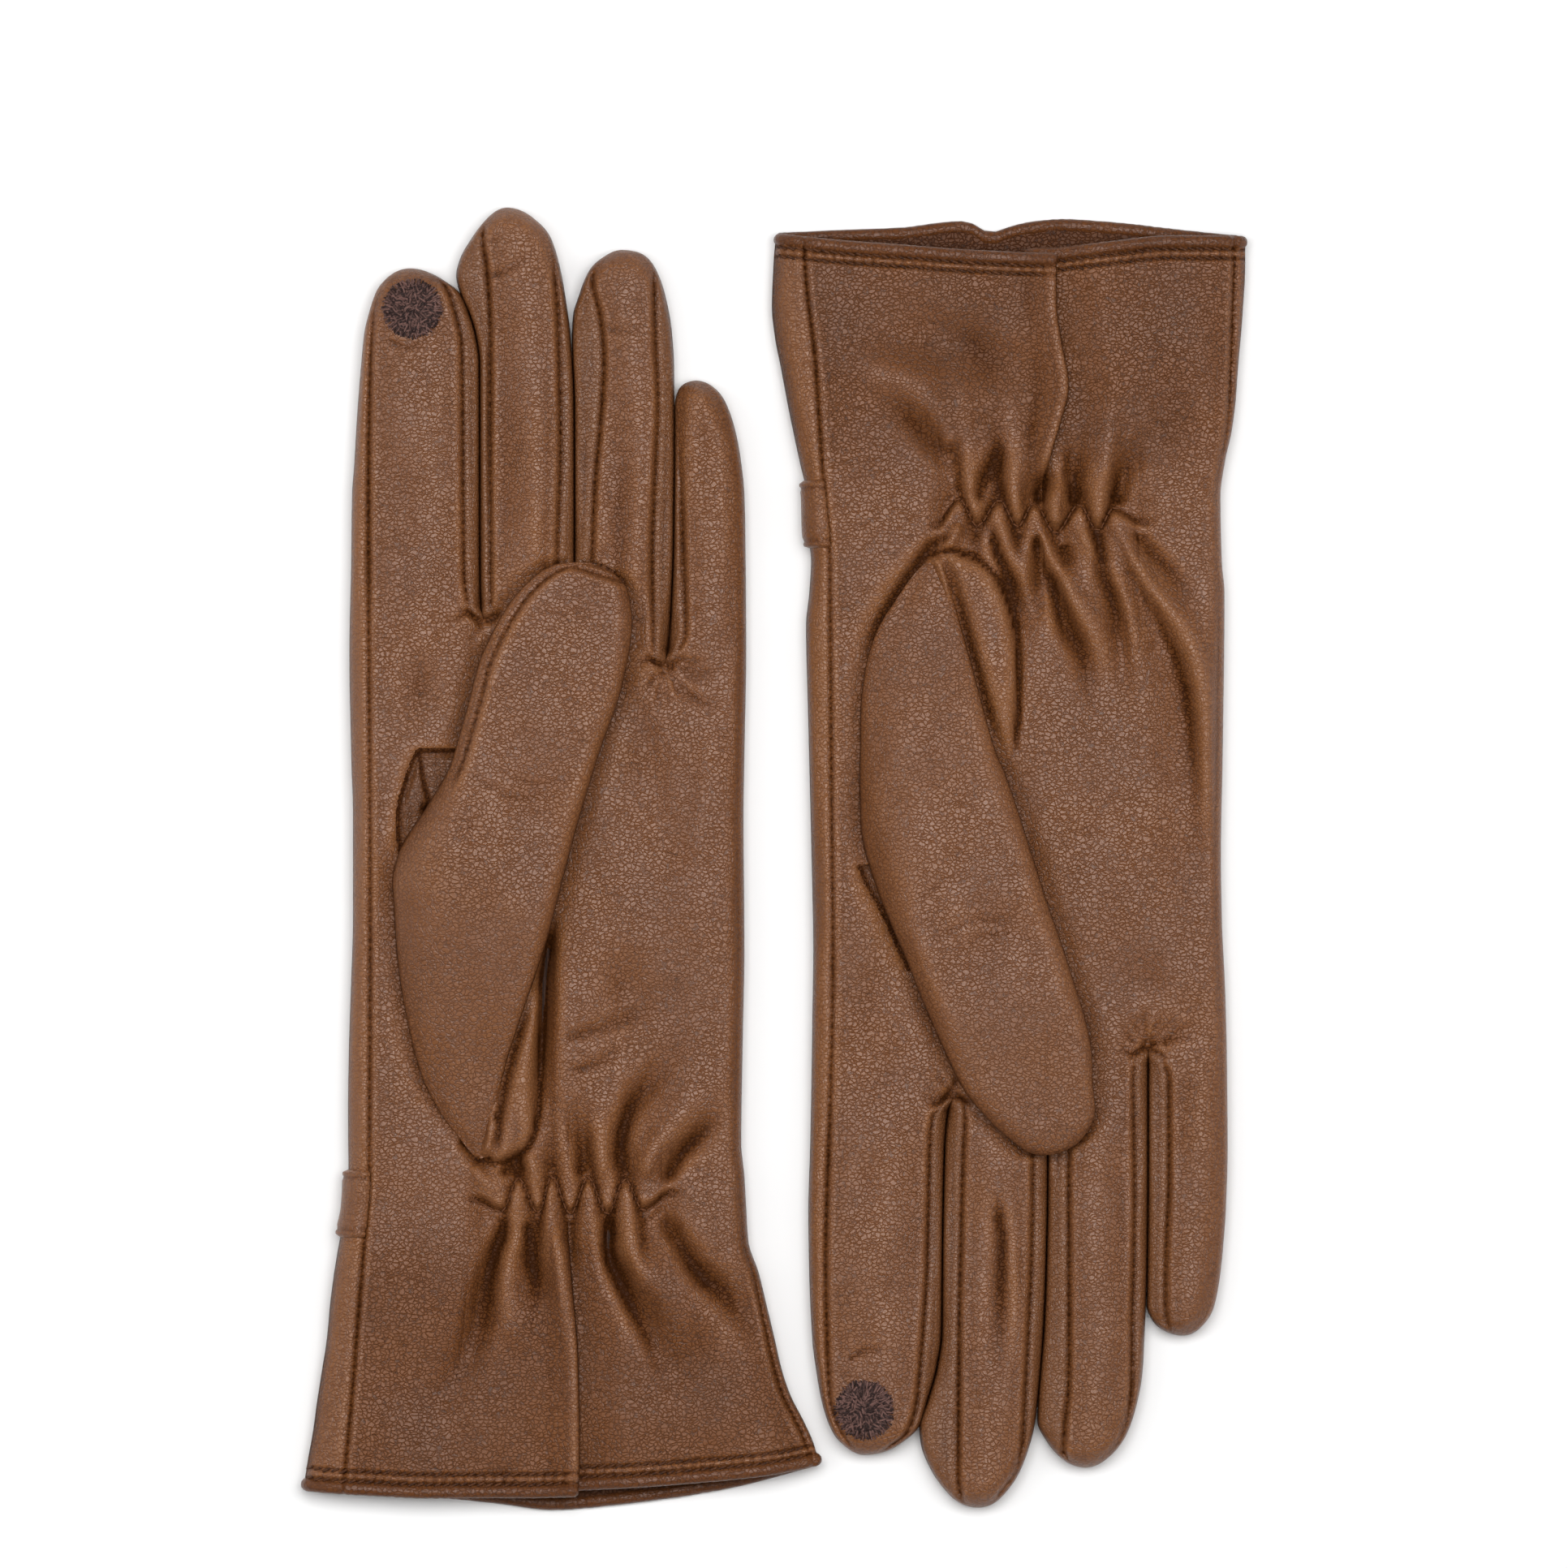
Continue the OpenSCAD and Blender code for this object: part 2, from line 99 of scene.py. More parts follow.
LEFT = {
    "tips": [(206.1, 13.1), (219.6, 34.6), (210.2, 60.1), (181.2, 76.5)],
    "crotch": [(29.5, 128.3), (49.6, 126.0), (69.7, 118.4)],
    "inner": [
        [(-66, 21), (-9, 26.5), (60, 28.8)],
        [(-66, 50.5), (-57, 50.9), (-35, 50.5), (-20, 49.3), (-4.3, 48.2), (60, 49)],
        [(-66, 77), (-9, 69), (60, 69)],
    ],
    "between": [
        [(131, 28.8), (140, 28.6), (185, 28.5), (191, 27.7), (196, 26.2), (200.5, 24.2)],
        [(140, 49.6), (175, 49.5)],
        [(122, 70.4), (130, 71), (145, 71.6), (165, 71.8)],
    ],
    "left": [
        [
            (-66, -10.6), (-60, -9.7), (-53, -8.5), (-46, -7.6), (-38.7, -6.5), (-31.5, -5.4), (-24, -4.7),
            (-17, -3.8), (-9.9, -2.6), (-2, -0.9), (4.5, -0.6), (19, -0.7), (33, -0.5), (48, 0), (62, 0.4),
            (84, 0.4), (98, 0), (120, -0.4), (141, 0), (155.7, 0.2), (163, 0.7), (170, 1.1), (177.3, 1.6),
            (184.5, 2.2), (191.7, 2.9), (196, 3.9), (201.2, 5.7), (204.5, 8.6),
        ],
        [(204.5, 23.3), (208, 24.1), (213, 26.9), (217.6, 30.6)],
        [(190, 49), (196, 49.3), (199, 50.2), (206, 53.1), (209, 56.6)],
        [(175, 71.8), (179, 72.6)],
    ],
    "right": [
        [(203.3, 20.8), (205.3, 17)],
        [(190, 48.8), (198.9, 47.7), (206.1, 46.4), (213.3, 44.1), (217.3, 40.4)],
        [(184, 71.7), (192, 71.2), (199, 70), (206, 67.6), (209.3, 64.6)],
        [
            (-66, 104), (-60, 102.4), (-53, 100.1), (-46, 97.6), (-38.7, 95.6), (-31.5, 94), (-24, 92.2),
            (-17, 90.5), (-9.9, 88.2), (-2.7, 87.7), (4.5, 87.3), (11.7, 86.6), (33, 86.9), (55, 87.3),
            (84, 87.1), (98, 87.3), (120, 87.7), (148.5, 87.5), (155.7, 87.3), (163, 86.6), (170, 85.3),
            (177.3, 82.6), (180.3, 79.6),
        ],
    ],
    "seam_left": [
        [
            (-66, -1.9), (-61.7, -1.4), (-46, 0.1), (-27.4, 1.6), (-8.7, 3.1), (6, 4.1), (60, 4.3),
            (120, 4), (160, 3.9), (188, 4.4), (196.6, 5.2), (202, 7),
        ],
        [(129, 32), (131.5, 31), (139.5, 30.9), (191.3, 30.9), (205.2, 30.2), (212.4, 29.2), (216.8, 29.9)],
        [
            (127, 53.2), (142.4, 53.5), (158.8, 54.2), (171.7, 55.4), (185, 56.1), (194.6, 55.4),
            (203.2, 53.5), (207, 54.2),
        ],
        [(119, 72.2), (125, 74.2), (139.7, 73.8), (165, 72.8), (175, 72.5), (179.5, 73.4)],
    ],
    "seam_right": [
        [(129, 26.6), (131.5, 25.9), (140, 25.1), (188, 24.7), (197.9, 22.7), (202.5, 20.7), (205.1, 17)],
        [(127, 45.6), (142.4, 45.9), (165, 46.6), (185, 46.3), (198, 45.8), (207.7, 45), (214.9, 42.9)],
        [
            (119, 67.2), (140.4, 66.9), (158.8, 67.5), (175, 68.2), (191.3, 67.6), (204.5, 67.3),
            (208.6, 65.4),
        ],
    ],
    "wrap": [(-66, 1.6), (-30, 1.4), (-8, 1.0), (20, 1.3), (182, 1.3)],
    "hem_index": [(-12, 1.3), (5, 0.3), (17, -0.2), (39, -0.2), (51, 0.2)],
    "hem_little": [(50, 1.3), (69, 2.5), (91.5, 4.6), (104, 6.8)],
    "hem_back": [(-12, 1.3), (10, 0.2), (32, -1.7), (44.5, -3.2), (62, -1.7), (84, 1.6), (104, 6.8)],
    "gather_low": [(33.5, -3.2), (41.6, -3.6), (48.7, -3.8), (56.9, -3.9), (64.9, -3)],
    "gather_high": [(37.2, 4.2), (44.6, 4.6), (52.7, 4.4), (60.9, 4)],
    "gather_ends": [(27.2, -0.6), (71.2, 0.8)],
    "patch": (13.7, 196.9),
    # Folds: depth (negative sinks), width on the index finger's side and on the other, then the line.
    "folds": [
        (
            -3.2, 1.1, 1.7,
            [(44.5, 60), (43.4, 52), (42.9, 42.7), (42.5, 33.2), (42.2, 21.9), (43.1, 14), (44, 7)],
        ),
        (1.0, 2.2, 4.5, [(45.8, 8), (46, 16), (45.4, 27), (45.8, 36), (48, 45), (51, 56), (54, 66)]),
        (-1.7, 1.5, 1.5, [(50.8, 4), (51, 10), (50.2, 17), (49.4, 24)]),
        (1.0, 1.6, 2.2, [(55.6, 4), (54.6, 12), (53.4, 20), (52.8, 28)]),
        (-2.0, 1.8, 1.8, [(59.3, 5), (59.6, 12), (62.4, 20), (67, 26), (71.4, 33), (74.6, 41)]),
        (1.3, 2.4, 2.4, [(64.6, 4), (67, 10), (71.5, 16), (77, 24), (82, 32)]),
        (-1.7, 1.5, 1.4, [(69.6, 3), (73.4, 9.5), (79, 15.5), (84.2, 22)]),
        (-0.5, 1.4, 1.4, [(46.8, 34.6), (54.2, 37), (63, 40.2), (70, 44.6), (76, 48)]),
        (-0.35, 1.0, 1.0, [(48.5, 27.6), (54, 29.3), (60, 32), (66, 33)]),
        (-1.4, 1.3, 1.6, [(24.4, 13.5), (27.4, 9), (30.6, 5.5), (31.8, 1)]),
        (0.9, 1.4, 1.4, [(27.2, 7), (30, 3.6), (32.6, -0.6)]),
        (-1.3, 1.3, 1.3, [(33, 5.6), (36.5, 6.6), (40.6, 8.4)]),
        (0.8, 1.4, 1.4, [(38.6, 10), (41, 4), (41.5, -1)]),
        (-1.1, 4.0, 3.0, [(60, 122), (64, 108), (66, 92), (67, 75), (66.5, 58)]),
        (-1.0, 3.0, 4.5, [(57, 58), (61, 46), (65, 36), (69, 27)]),
        (0.6, 2.0, 3.0, [(80, 110), (79, 90), (77, 70), (80, 50)]),
        (-0.5, 3.0, 3.0, [(14, 124), (16, 110), (15, 100)]),
        (-2.2, 2.0, 2.4, [(36, -4.5), (32.4, -11), (29.6, -20), (27.6, -30), (22, -42), (12, -51)]),
        (-1.6, 1.3, 1.5, [(39.2, -5), (39.4, -12), (41.4, -19), (43.4, -26)]),
        (1.0, 1.8, 2.2, [(34.4, -10), (34, -19), (36.5, -28), (41, -36)]),
        (1.2, 2.0, 1.4, [(45.4, -6), (46.4, -15), (47.2, -26), (47.8, -40)]),
        (-2.6, 1.2, 2.4, [(57.6, -4), (56.8, -11), (59.6, -19), (64.4, -28), (68.4, -36), (72, -46)]),
        (1.3, 2.0, 3.0, [(60.6, -4), (61.6, -11), (66, -17), (71, -24), (76, -34)]),
        (-2.2, 1.8, 2.4, [(68.6, -4), (72, -9), (76.4, -16), (83, -22), (89, -30), (93, -40)]),
        (-0.7, 5.0, 5.0, [(78, -26), (74, -40), (70, -52)]),
        (-0.4, 3.2, 3.2, [(13.4, 132), (12, 150), (10, 168), (9.6, 186)]),
        (-1.1, 2.4, 3.0, [(34, 136), (34.4, 160), (34, 185), (34.6, 203)]),
        (0.5, 2.0, 2.5, [(41, 140), (41.5, 165), (41.5, 190)]),
        (-1.1, 2.0, 2.4, [(58, 130), (59.5, 150), (59.6, 175), (58.6, 196)]),
        (0.5, 2.0, 2.4, [(63.8, 130), (64.4, 160), (64, 188)]),
        (-0.3, 0.7, 0.7, [(30, 204), (35, 205.4), (38.6, 208), (44, 211)]),
        (-0.25, 0.8, 0.8, [(56, 192.6), (61, 191.8), (67, 193.4)]),
        (-0.35, 0.6, 0.6, [(8, 190), (13, 188.4), (18, 191.4)]),
        (-0.5, 2.2, 2.2, [(78, 172), (79, 160), (77, 145)]),
    ],
    # Stars of small creases at a fork: u and v, then the angle and length of each crease.
    "star": [
        (
            69.7, 117.6,
            [
                (-172, 8), (-120, 9), (-95, 12), (-78, 10), (-52, 13), (-38, 17), (-20, 12), (-6, 13),
                (8, 10),
            ],
        ),
        (29.5, 127.2, [(-175, 9), (165, 7), (-150, 7), (-120, 6), (10, 5)]),
    ],
    "thumb_left": [
        (-54.6, 17), (-52.6, 12.6), (-47, 5), (-42, 0), (-33, -6), (-24.3, -10.8), (-16, -14.6),
        (-7.6, -17.8), (0, -20.4), (4.4, -20.6), (9, -19.8), (15.8, -17.8), (27.8, -15.4), (40, -15.7),
        (49.9, -16.2), (56.9, -15.4), (64, -13.9), (69.7, -11.6), (75.8, -6.8), (78.2, -1), (78.7, 2.4),
    ],
    "thumb_right": [
        (-54.6, 17), (-52.1, 18.4), (-45, 17.4), (-30.3, 16.2), (-5, 16.7), (10.4, 16), (25.4, 15.4),
        (38.5, 15.3), (50.7, 15.8), (61.5, 15), (68, 13.8), (72.2, 12.2), (76.6, 9), (78.2, 5.4),
        (78.7, 2.4),
    ],
    "thumb_seam": 2.7,
    "pocket": [
        (28.6, 8.9), (32.8, 7.9), (37.8, 9.7), (40.8, 15.5), (41.6, 26.9), (42.2, 39.6), (42.3, 50),
        (43, 56),
    ],
    "gusset": [
        [(76.3, 10.8), (81, 10.1), (85.3, 10.2), (93, 12), (99.5, 14.6)],
        [(76.3, 11.4), (81, 15.4), (86.3, 18.4), (93, 21.4), (99.5, 23.6)],
    ],
    "gusset_fold": [(15.2, 98.2), (16, 93), (17.3, 87.6), (17, 86)],
    "seed": 11,
}

RIGHT = {
    "tips": [(207.4, 12.2), (219.1, 37.4), (210.2, 61.3), (180.9, 83)],
    "crotch": [(32, 127.8), (53, 126), (75.2, 117.4)],
    "inner": [
        [(-66, 23), (-9, 29), (60, 31)],
        [
            (-66, 54.8), (-52.4, 54.9), (-40.4, 56), (-29.7, 57.6), (-21.7, 55.8), (-15, 53.8),
            (-6.4, 51.6), (60, 52.4),
        ],
        [(-66, 76), (-9, 73), (60, 74)],
    ],
    "between": [
        [(131, 30.8), (140, 30), (160, 29.6), (180, 29.4), (188, 28.3), (195, 26.3), (201, 24.4)],
        [(150, 52.9), (165, 52.6), (178, 52.1), (194.5, 50.8)],
        [(140, 75.2), (165, 75)],
    ],
    "left": [
        [
            (-66, -7.4), (-60, -7.9), (-48.6, -8.3), (-41, -7.6), (-34, -6.3), (-27, -5), (-20, -3.6),
            (-12.6, -2), (-5.4, -0.5), (1.8, -0.3), (9, 0.4), (16, 0), (23, -0.7), (45, -0.2), (74, 0.5),
            (95, 0.9), (110, 0.7), (124, 0.5), (139, 0.2), (153, -0.2), (167, 0), (182, 0.7), (189, 1.6),
            (196, 2.9), (203, 5.6), (205.8, 8.4),
        ],
        [(205, 24.8), (210.6, 27), (215, 30), (217.8, 33)],
        [(199.7, 50.6), (204.3, 52.7), (208.5, 56.5)],
        [(174, 74.9), (177.5, 76.2), (180.1, 79.4)],
    ],
    "right": [
        [(204.6, 20.7), (206.7, 16.8)],
        [(200, 50.2), (204.3, 49.2), (210.8, 46.9), (216, 43.4), (218.4, 40.5)],
        [(182, 74.4), (189, 74), (197, 72.5), (203.7, 70), (208.3, 66)],
        [
            (-66, 96.8), (-60, 96.8), (-48.6, 96.3), (-41, 95.8), (-34, 95.2), (-27, 94.7), (-20, 93.8),
            (-12.6, 92.2), (-5.4, 91.3), (9, 91.6), (16, 92.2), (52, 91.8), (74, 91.4), (88, 91.6),
            (103, 92.3), (117, 92.7), (139, 92.9), (153, 92.5), (160, 92), (167, 91.3), (175, 89.7),
            (178.8, 87.2),
        ],
    ],
    "seam_left": [
        [
            (-66, -1.2), (-58, -0.9), (-34, 1.4), (-7, 3.2), (9, 4.5), (60, 4.9), (100, 5.2), (130, 4.6),
            (150, 3.9), (165, 3.6), (184.7, 4), (194.5, 4.5), (201, 6.3), (205, 9),
        ],
        [(128.5, 34.6), (131, 34.6), (140, 34.1), (160, 33.6), (178, 33.2), (211, 33), (216.5, 33.7)],
        [(127, 57.4), (178, 57.6), (191, 57.5), (201, 56.6), (206, 56.3), (208.8, 58)],
        [(118.5, 78.4), (124, 79.7), (145, 79.8), (158, 79.3), (171, 78.9), (177, 79.2), (180, 80.6)],
    ],
    "seam_right": [
        [
            (128.5, 29.4), (131, 27.6), (136, 26.9), (145, 26.6), (165, 26.2), (175, 25.6), (188, 24.6),
            (196.5, 23.7), (202.4, 21.6), (205.5, 17.6),
        ],
        [
            (127, 49.6), (145, 49.7), (165, 49.3), (178, 48.8), (191, 48.1), (204, 47.4), (209.6, 46.4),
            (215, 43),
        ],
        [
            (118.5, 72.2), (124, 71.9), (145, 72.2), (165, 72), (178, 71.7), (191, 71.6), (198, 71),
            (204, 68.8),
        ],
    ],
    "wrap": [(-66, 2.5), (-55, 2.4), (-32, 1.5), (-11, 1.0), (20, 1.3), (182, 1.3)],
    "hem_index": [(-9, 2.6), (6.6, 4.3), (20, 5.3), (33, 6.3), (46.6, 7), (55, 7.3)],
    "hem_little": [(55, 6), (66.5, 4.6), (80, 3.3), (97, 3.3)],
    "hem_back": [
        (-9, 2.6), (6.6, 1.8), (20, 1.3), (34, -0.2), (37.5, 0.8), (40, 2.6), (43, 1.6), (48, 0.2),
        (56, -0.6), (66.5, 0), (84.5, 2), (97, 3.3),
    ],
    "gather_low": [(33.2, -4.9), (42.2, -4.6), (49.9, -4), (59.9, -3.6), (67.5, -2.8)],
    "gather_high": [(37.2, 1.2), (46.2, 1.4), (54.6, 2.8), (63.9, 2.2)],
    "gather_ends": [(28, 0.9), (74.2, 0.2)],
    "patch": (12.2, 197.1),
    "folds": [
        (-1.6, 1.4, 1.4, [(31.7, 3), (27.4, 5.4), (23.6, 10.5), (20, 16), (15, 24), (10.6, 34)]),
        (1.1, 1.3, 1.3, [(33.4, 1), (30, 5.6), (26.4, 9.4)]),
        (-2.0, 1.2, 1.4, [(40.4, 2), (41.2, 6), (43.4, 11), (46, 18), (47, 26), (47.4, 36)]),
        (1.0, 1.6, 1.6, [(42.3, 0), (44.6, 7), (47.6, 14), (49, 20)]),
        (-2.4, 1.7, 1.1, [(50.4, 3), (51, 10), (51.2, 17), (49.6, 22), (46.6, 26)]),
        (1.3, 1.2, 1.8, [(51.4, 2), (53.6, 8), (57.4, 16), (61.6, 24), (64.6, 32), (66.4, 42)]),
        (-2.2, 1.4, 2.2, [(52.4, 10), (56.6, 23), (60.8, 31), (62.8, 40), (65, 48)]),
        (-1.2, 1.0, 1.6, [(56.4, 5), (57.2, 10), (56, 13)]),
        (-1.9, 1.8, 1.4, [(63.6, 4), (66, 12), (68.2, 20), (69.4, 30), (69.6, 40), (67.6, 49)]),
        (1.2, 1.4, 1.6, [(60, 2), (65.4, 10), (70, 19), (72, 30), (72.6, 42)]),
        (
            -2.0, 4.2, 1.5,
            [(67.9, 3), (70.6, 12), (76, 21), (80.6, 30), (83.6, 42), (84.8, 60), (85.6, 80), (85.8, 98)],
        ),
        (1.1, 1.4, 2.0, [(68.4, 1), (73, 11), (79, 19), (84.6, 28), (87.6, 42), (88.4, 62), (88.6, 84)]),
        (-1.0, 1.3, 1.3, [(72, 2), (77, 8), (83, 15), (88, 22)]),
        (-0.7, 3.0, 3.0, [(80, 106), (74, 101), (66, 98)]),
        (-0.25, 2.6, 2.6, [(12, 92), (13, 110), (12, 128)]),
        (-1.5, 2.0, 3.0, [(33.6, -6), (30.6, -12.4), (25.2, -20.4), (18.6, -25.7), (12, -30)]),
        (0.9, 2.0, 2.4, [(32, -16), (26, -26), (18, -34)]),
        (-1.4, 1.5, 1.5, [(37, -4), (38.6, -9), (42.4, -14.6), (45.4, -20)]),
        (1.1, 2.0, 2.0, [(37.3, -1), (34.6, -10), (33, -18)]),
        (1.0, 1.6, 1.6, [(46.2, -1), (44.8, -8), (45.6, -15), (49, -21)]),
        (-1.5, 6.0, 5.0, [(58, -27), (45, -33.5), (33.2, -39), (21.3, -45), (6, -53)]),
        (1.1, 4.0, 4.0, [(6, -38), (18, -32), (32, -28), (46, -22)]),
        (-2.4, 1.2, 1.4, [(50.6, -3.6), (51.8, -8), (53.8, -14)]),
        (1.2, 1.4, 1.4, [(54.6, 1), (54.2, -5), (55.6, -11)]),
        (-1.8, 1.2, 1.8, [(58.6, -3), (58, -8), (57.8, -14), (60.8, -20)]),
        (1.1, 2.0, 2.2, [(63.9, 0), (63, -8), (64.4, -15)]),
        (-1.6, 1.6, 1.8, [(68, -3), (69.4, -9), (72.4, -16), (77, -22)]),
        (-0.9, 4.5, 4.5, [(72, -8), (78, -18), (83, -30), (84, -44)]),
        (-1.2, 1.8, 1.4, [(41.8, 150), (43, 165), (42.4, 180), (40.4, 196), (39.4, 206)]),
        (0.7, 1.6, 1.6, [(44.6, 160), (44.8, 178), (43.4, 196)]),
        (-0.5, 2.6, 2.6, [(14, 136), (12, 152), (13, 168)]),
        (-0.6, 3.0, 2.0, [(68, 134), (69, 158), (68.6, 186)]),
        (-0.45, 2.0, 2.0, [(84, 122), (83, 140), (85, 160)]),
        (-0.35, 0.7, 0.7, [(8, 186.5), (13, 184), (19, 184.6)]),
    ],
    "star": [
        (
            75.2, 116.6,
            [(-170, 8), (-140, 8), (-112, 9), (-92, 10), (-60, 9), (-40, 11), (-22, 14), (-10, 13)],
        ),
        (32, 126.8, [(-176, 9), (168, 8), (-155, 8), (-125, 7), (-70, 5)]),
    ],
    "thumb_left": [
        (-55.2, 16.6), (-53.6, 11.6), (-49, 5.4), (-46, 1.6), (-40, -3.6), (-30, -8.8), (-20.6, -12),
        (-10, -15.4), (0, -17.9), (5.6, -18.2), (11.8, -18), (20, -17.4), (27.4, -16.6), (34, -16.2),
        (47, -14.9), (58.6, -13.2), (66, -10.4), (72.8, -6.6), (77.2, -2.8), (78.8, 2.8),
    ],
    "thumb_right": [
        (-55.2, 16.6), (-53.4, 17.4), (-46, 17.4), (-32, 17), (-10, 16.2), (-4.4, 16.8), (8, 17), (22, 17),
        (38, 17.4), (50, 17.4), (58, 16.8), (66.6, 14.6), (72.6, 13.2), (76, 10.4), (78.2, 6.8),
        (78.8, 2.8),
    ],
    "thumb_seam": 0,
    "pocket": [
        (25, 9), (29.8, 6.9), (35.7, 8), (40.7, 11.9), (44, 18.5), (45.6, 24.3), (46.2, 34.2), (45.9, 44),
        (45.1, 53.8),
    ],
    "gusset": [
        [(76.3, 10.6), (81, 12.6), (86.3, 15.6), (93, 18.6), (99.8, 21.8)],
        [(76.3, 13.6), (81, 15.8), (86.3, 18.9), (93, 21.6), (99.8, 23.4)],
    ],
    "gusset_fold": [(19, 97), (18.4, 91), (17.8, 85)],
    "seed": 23,
}


# ------------------------------------------------------------------------------------------ plain functions
def smooth(a, b, x):
    """0 up to a and 1 from b on, with a soft step between."""
    t = np.clip((np.asarray(x, float) - a) / (b - a), 0, 1)
    return t * t * (3 - 2 * t)


def curve(x, points):
    """Smooth interpolation through (x, y) points that doesn't overshoot them."""
    xs, ys = np.array(sorted(points), float).T
    h = np.diff(xs)
    d = np.diff(ys) / h
    before, after = d[:-1], d[1:]
    inside = np.where(after * before > 0, 2 * after * before / (after + before + 1e-12), 0)
    m = np.concatenate([[d[0]], inside, [d[-1]]])
    x = np.clip(np.asarray(x, float), xs[0], xs[-1])
    k = np.clip(np.searchsorted(xs, x, "right") - 1, 0, len(h) - 1)
    t = (x - xs[k]) / h[k]
    return (
        ys[k] * (1 + 2 * t) * (1 - t) ** 2
        + m[k] * h[k] * t * (1 - t) ** 2
        + ys[k + 1] * t * t * (3 - 2 * t)
        - m[k + 1] * h[k] * t * t * (1 - t)
    )


def edge_u(v, table, tip):
    """u of an outline at v, from a table that ends at the fingertip, where the outline turns across."""
    points = [(-math.sqrt(max(tip - a, 0)), b) for a, b in table]
    return curve(-np.sqrt(np.maximum(tip - v, 0)), points)


def outlines(g):
    """Each strip's four lines from the tables, with the points that they share: the forks and the tips."""
    forks = [[(v, u), *line] for (u, v), line in zip(g["crotch"], g["between"])]
    starts = {"left": [[], *forks], "right": [*forks, []]}
    lines = {}
    for which in ("left", "right", "seam_left", "seam_right"):
        shared = starts.get(which, [[]] * 4)
        lines[which] = [[*start, *own, tip] for start, own, tip in zip(shared, g[which], g["tips"])]
    return lines


def rounded(d, width, power=2.2):
    """0 at an edge and 1 from width inwards, round like the side of a tube."""
    x = np.clip(d / width, 0, 1)
    return (1 - (1 - x) ** power) ** (1 / power)


NOISE_SIZE = 128
NOISE_GRID = rng.random((4, NOISE_SIZE, NOISE_SIZE))


def noise(x, y, layer):
    """Value noise from -1 to 1 with cells one unit wide."""
    grid = NOISE_GRID[layer]
    xi, yi = np.floor(x).astype(int), np.floor(y).astype(int)
    fx, fy = x - xi, y - yi
    fx, fy = fx * fx * (3 - 2 * fx), fy * fy * (3 - 2 * fy)
    x0, x1, y0, y1 = (k % NOISE_SIZE for k in (xi, xi + 1, yi, yi + 1))
    a, b, c, d = grid[x0, y0], grid[x1, y0], grid[x0, y1], grid[x1, y1]
    return 2 * (a * (1 - fx) * (1 - fy) + b * fx * (1 - fy) + c * (1 - fx) * fy + d * fx * fy) - 1


def along(u, v, line):
    """Signed distance from a line (positive towards higher u if it runs up), and the place along it."""
    best = np.full(u.shape, 1e9)
    place = np.zeros(u.shape)
    sign = np.ones(u.shape)
    points = np.array(line, float)
    lengths = np.hypot(*np.diff(points, axis=0).T)
    done = 0.0
    for a, b, length in zip(points[:-1], points[1:], lengths):
        way = (b - a) / length
        t = np.clip((u - a[0]) * way[0] + (v - a[1]) * way[1], 0, length)
        du, dv = u - a[0] - t * way[0], v - a[1] - t * way[1]
        d = np.hypot(du, dv)
        near = d < best
        best = np.where(near, d, best)
        place = np.where(near, (done + t) / lengths.sum(), place)
        sign = np.where(near, np.sign(du * way[1] - dv * way[0] + 1e-12), sign)
        done += length
    return best * sign, place


def dense_line(line, n=24):
    """A smooth line through a few points, as n points."""
    points = np.array(line, float)
    steps = np.concatenate([[0], np.cumsum(np.hypot(*np.diff(points, axis=0).T))])
    t = np.linspace(0, steps[-1], n)
    return np.column_stack([curve(t, list(zip(steps, points[:, k]))) for k in (0, 1)])


def thumb_plan(u, v):
    """Coordinates in the thumb's own plan: p across it and q along it from its fold."""
    s, c = math.sin(THUMB_LEAN), math.cos(THUMB_LEAN)
    du, dv = u - THUMB_FOLD[0], v - THUMB_FOLD[1]
    return du * c - dv * s, du * s + dv * c


def thumb_hollow(g, u, v):
    """The palm sinks a little along both edges of the folded thumb."""
    p, q = thumb_plan(u, v)
    beyond = np.maximum(p - curve(q, g["thumb_right"]), curve(q, g["thumb_left"]) - p)
    window = smooth(-58, -44, q) * (1 - smooth(78, 86, q))
    return -1.1 * window * np.exp(-((np.maximum(beyond, 0) / 2.6) ** 2))


FOLD_GAIN = 1.5
WIDE_FOLD = 2.55


def fold_relief(u, v, fold):
    """One fold: it widens along its line, and fades out towards the end. A wide one also fades in slowly."""
    depth, width_low, width_high, line = fold
    if line[-1][1] < line[0][1]:
        width_low, width_high = width_high, width_low
    reach = 5 * max(width_low, width_high)
    low, high = np.min(line, 0) - reach, np.max(line, 0) + reach
    inside = (u > low[0]) & (u < high[0]) & (v > low[1]) & (v < high[1])
    out = np.zeros(u.shape)
    if inside.any():
        d, t = along(u[inside], v[inside], dense_line(line, 14))
        width = np.where(d < 0, width_low, width_high) * (0.8 + 1.5 * t)
        wide = max(width_low, width_high) > WIDE_FOLD
        start = smooth(-0.02, 0.4, t) if wide else smooth(-0.05, 0.12, t)
        out[inside] = FOLD_GAIN * depth * np.exp(-((d / width) ** 2)) * start * (1 - smooth(0.35, 1, t))
    return out


def star_relief(u, v, star):
    """Small creases that run out from a point, and the pit in their middle."""
    cu, cv, rays = star
    total = -1.5 * np.exp(-((u - cu) ** 2 + (v - cv) ** 2) / 2.6)
    for angle, length in rays:
        s, c = math.sin(math.radians(angle)), math.cos(math.radians(angle))
        line = []
        for out, bend in ((0.5, 0), (0.5 * length, 0.08 * length), (length, 0)):
            line.append((cu + out * c + bend * s, cv + out * s - bend * c))
        total += fold_relief(u, v, (-0.6, 0.55, 0.55, line))
    return total


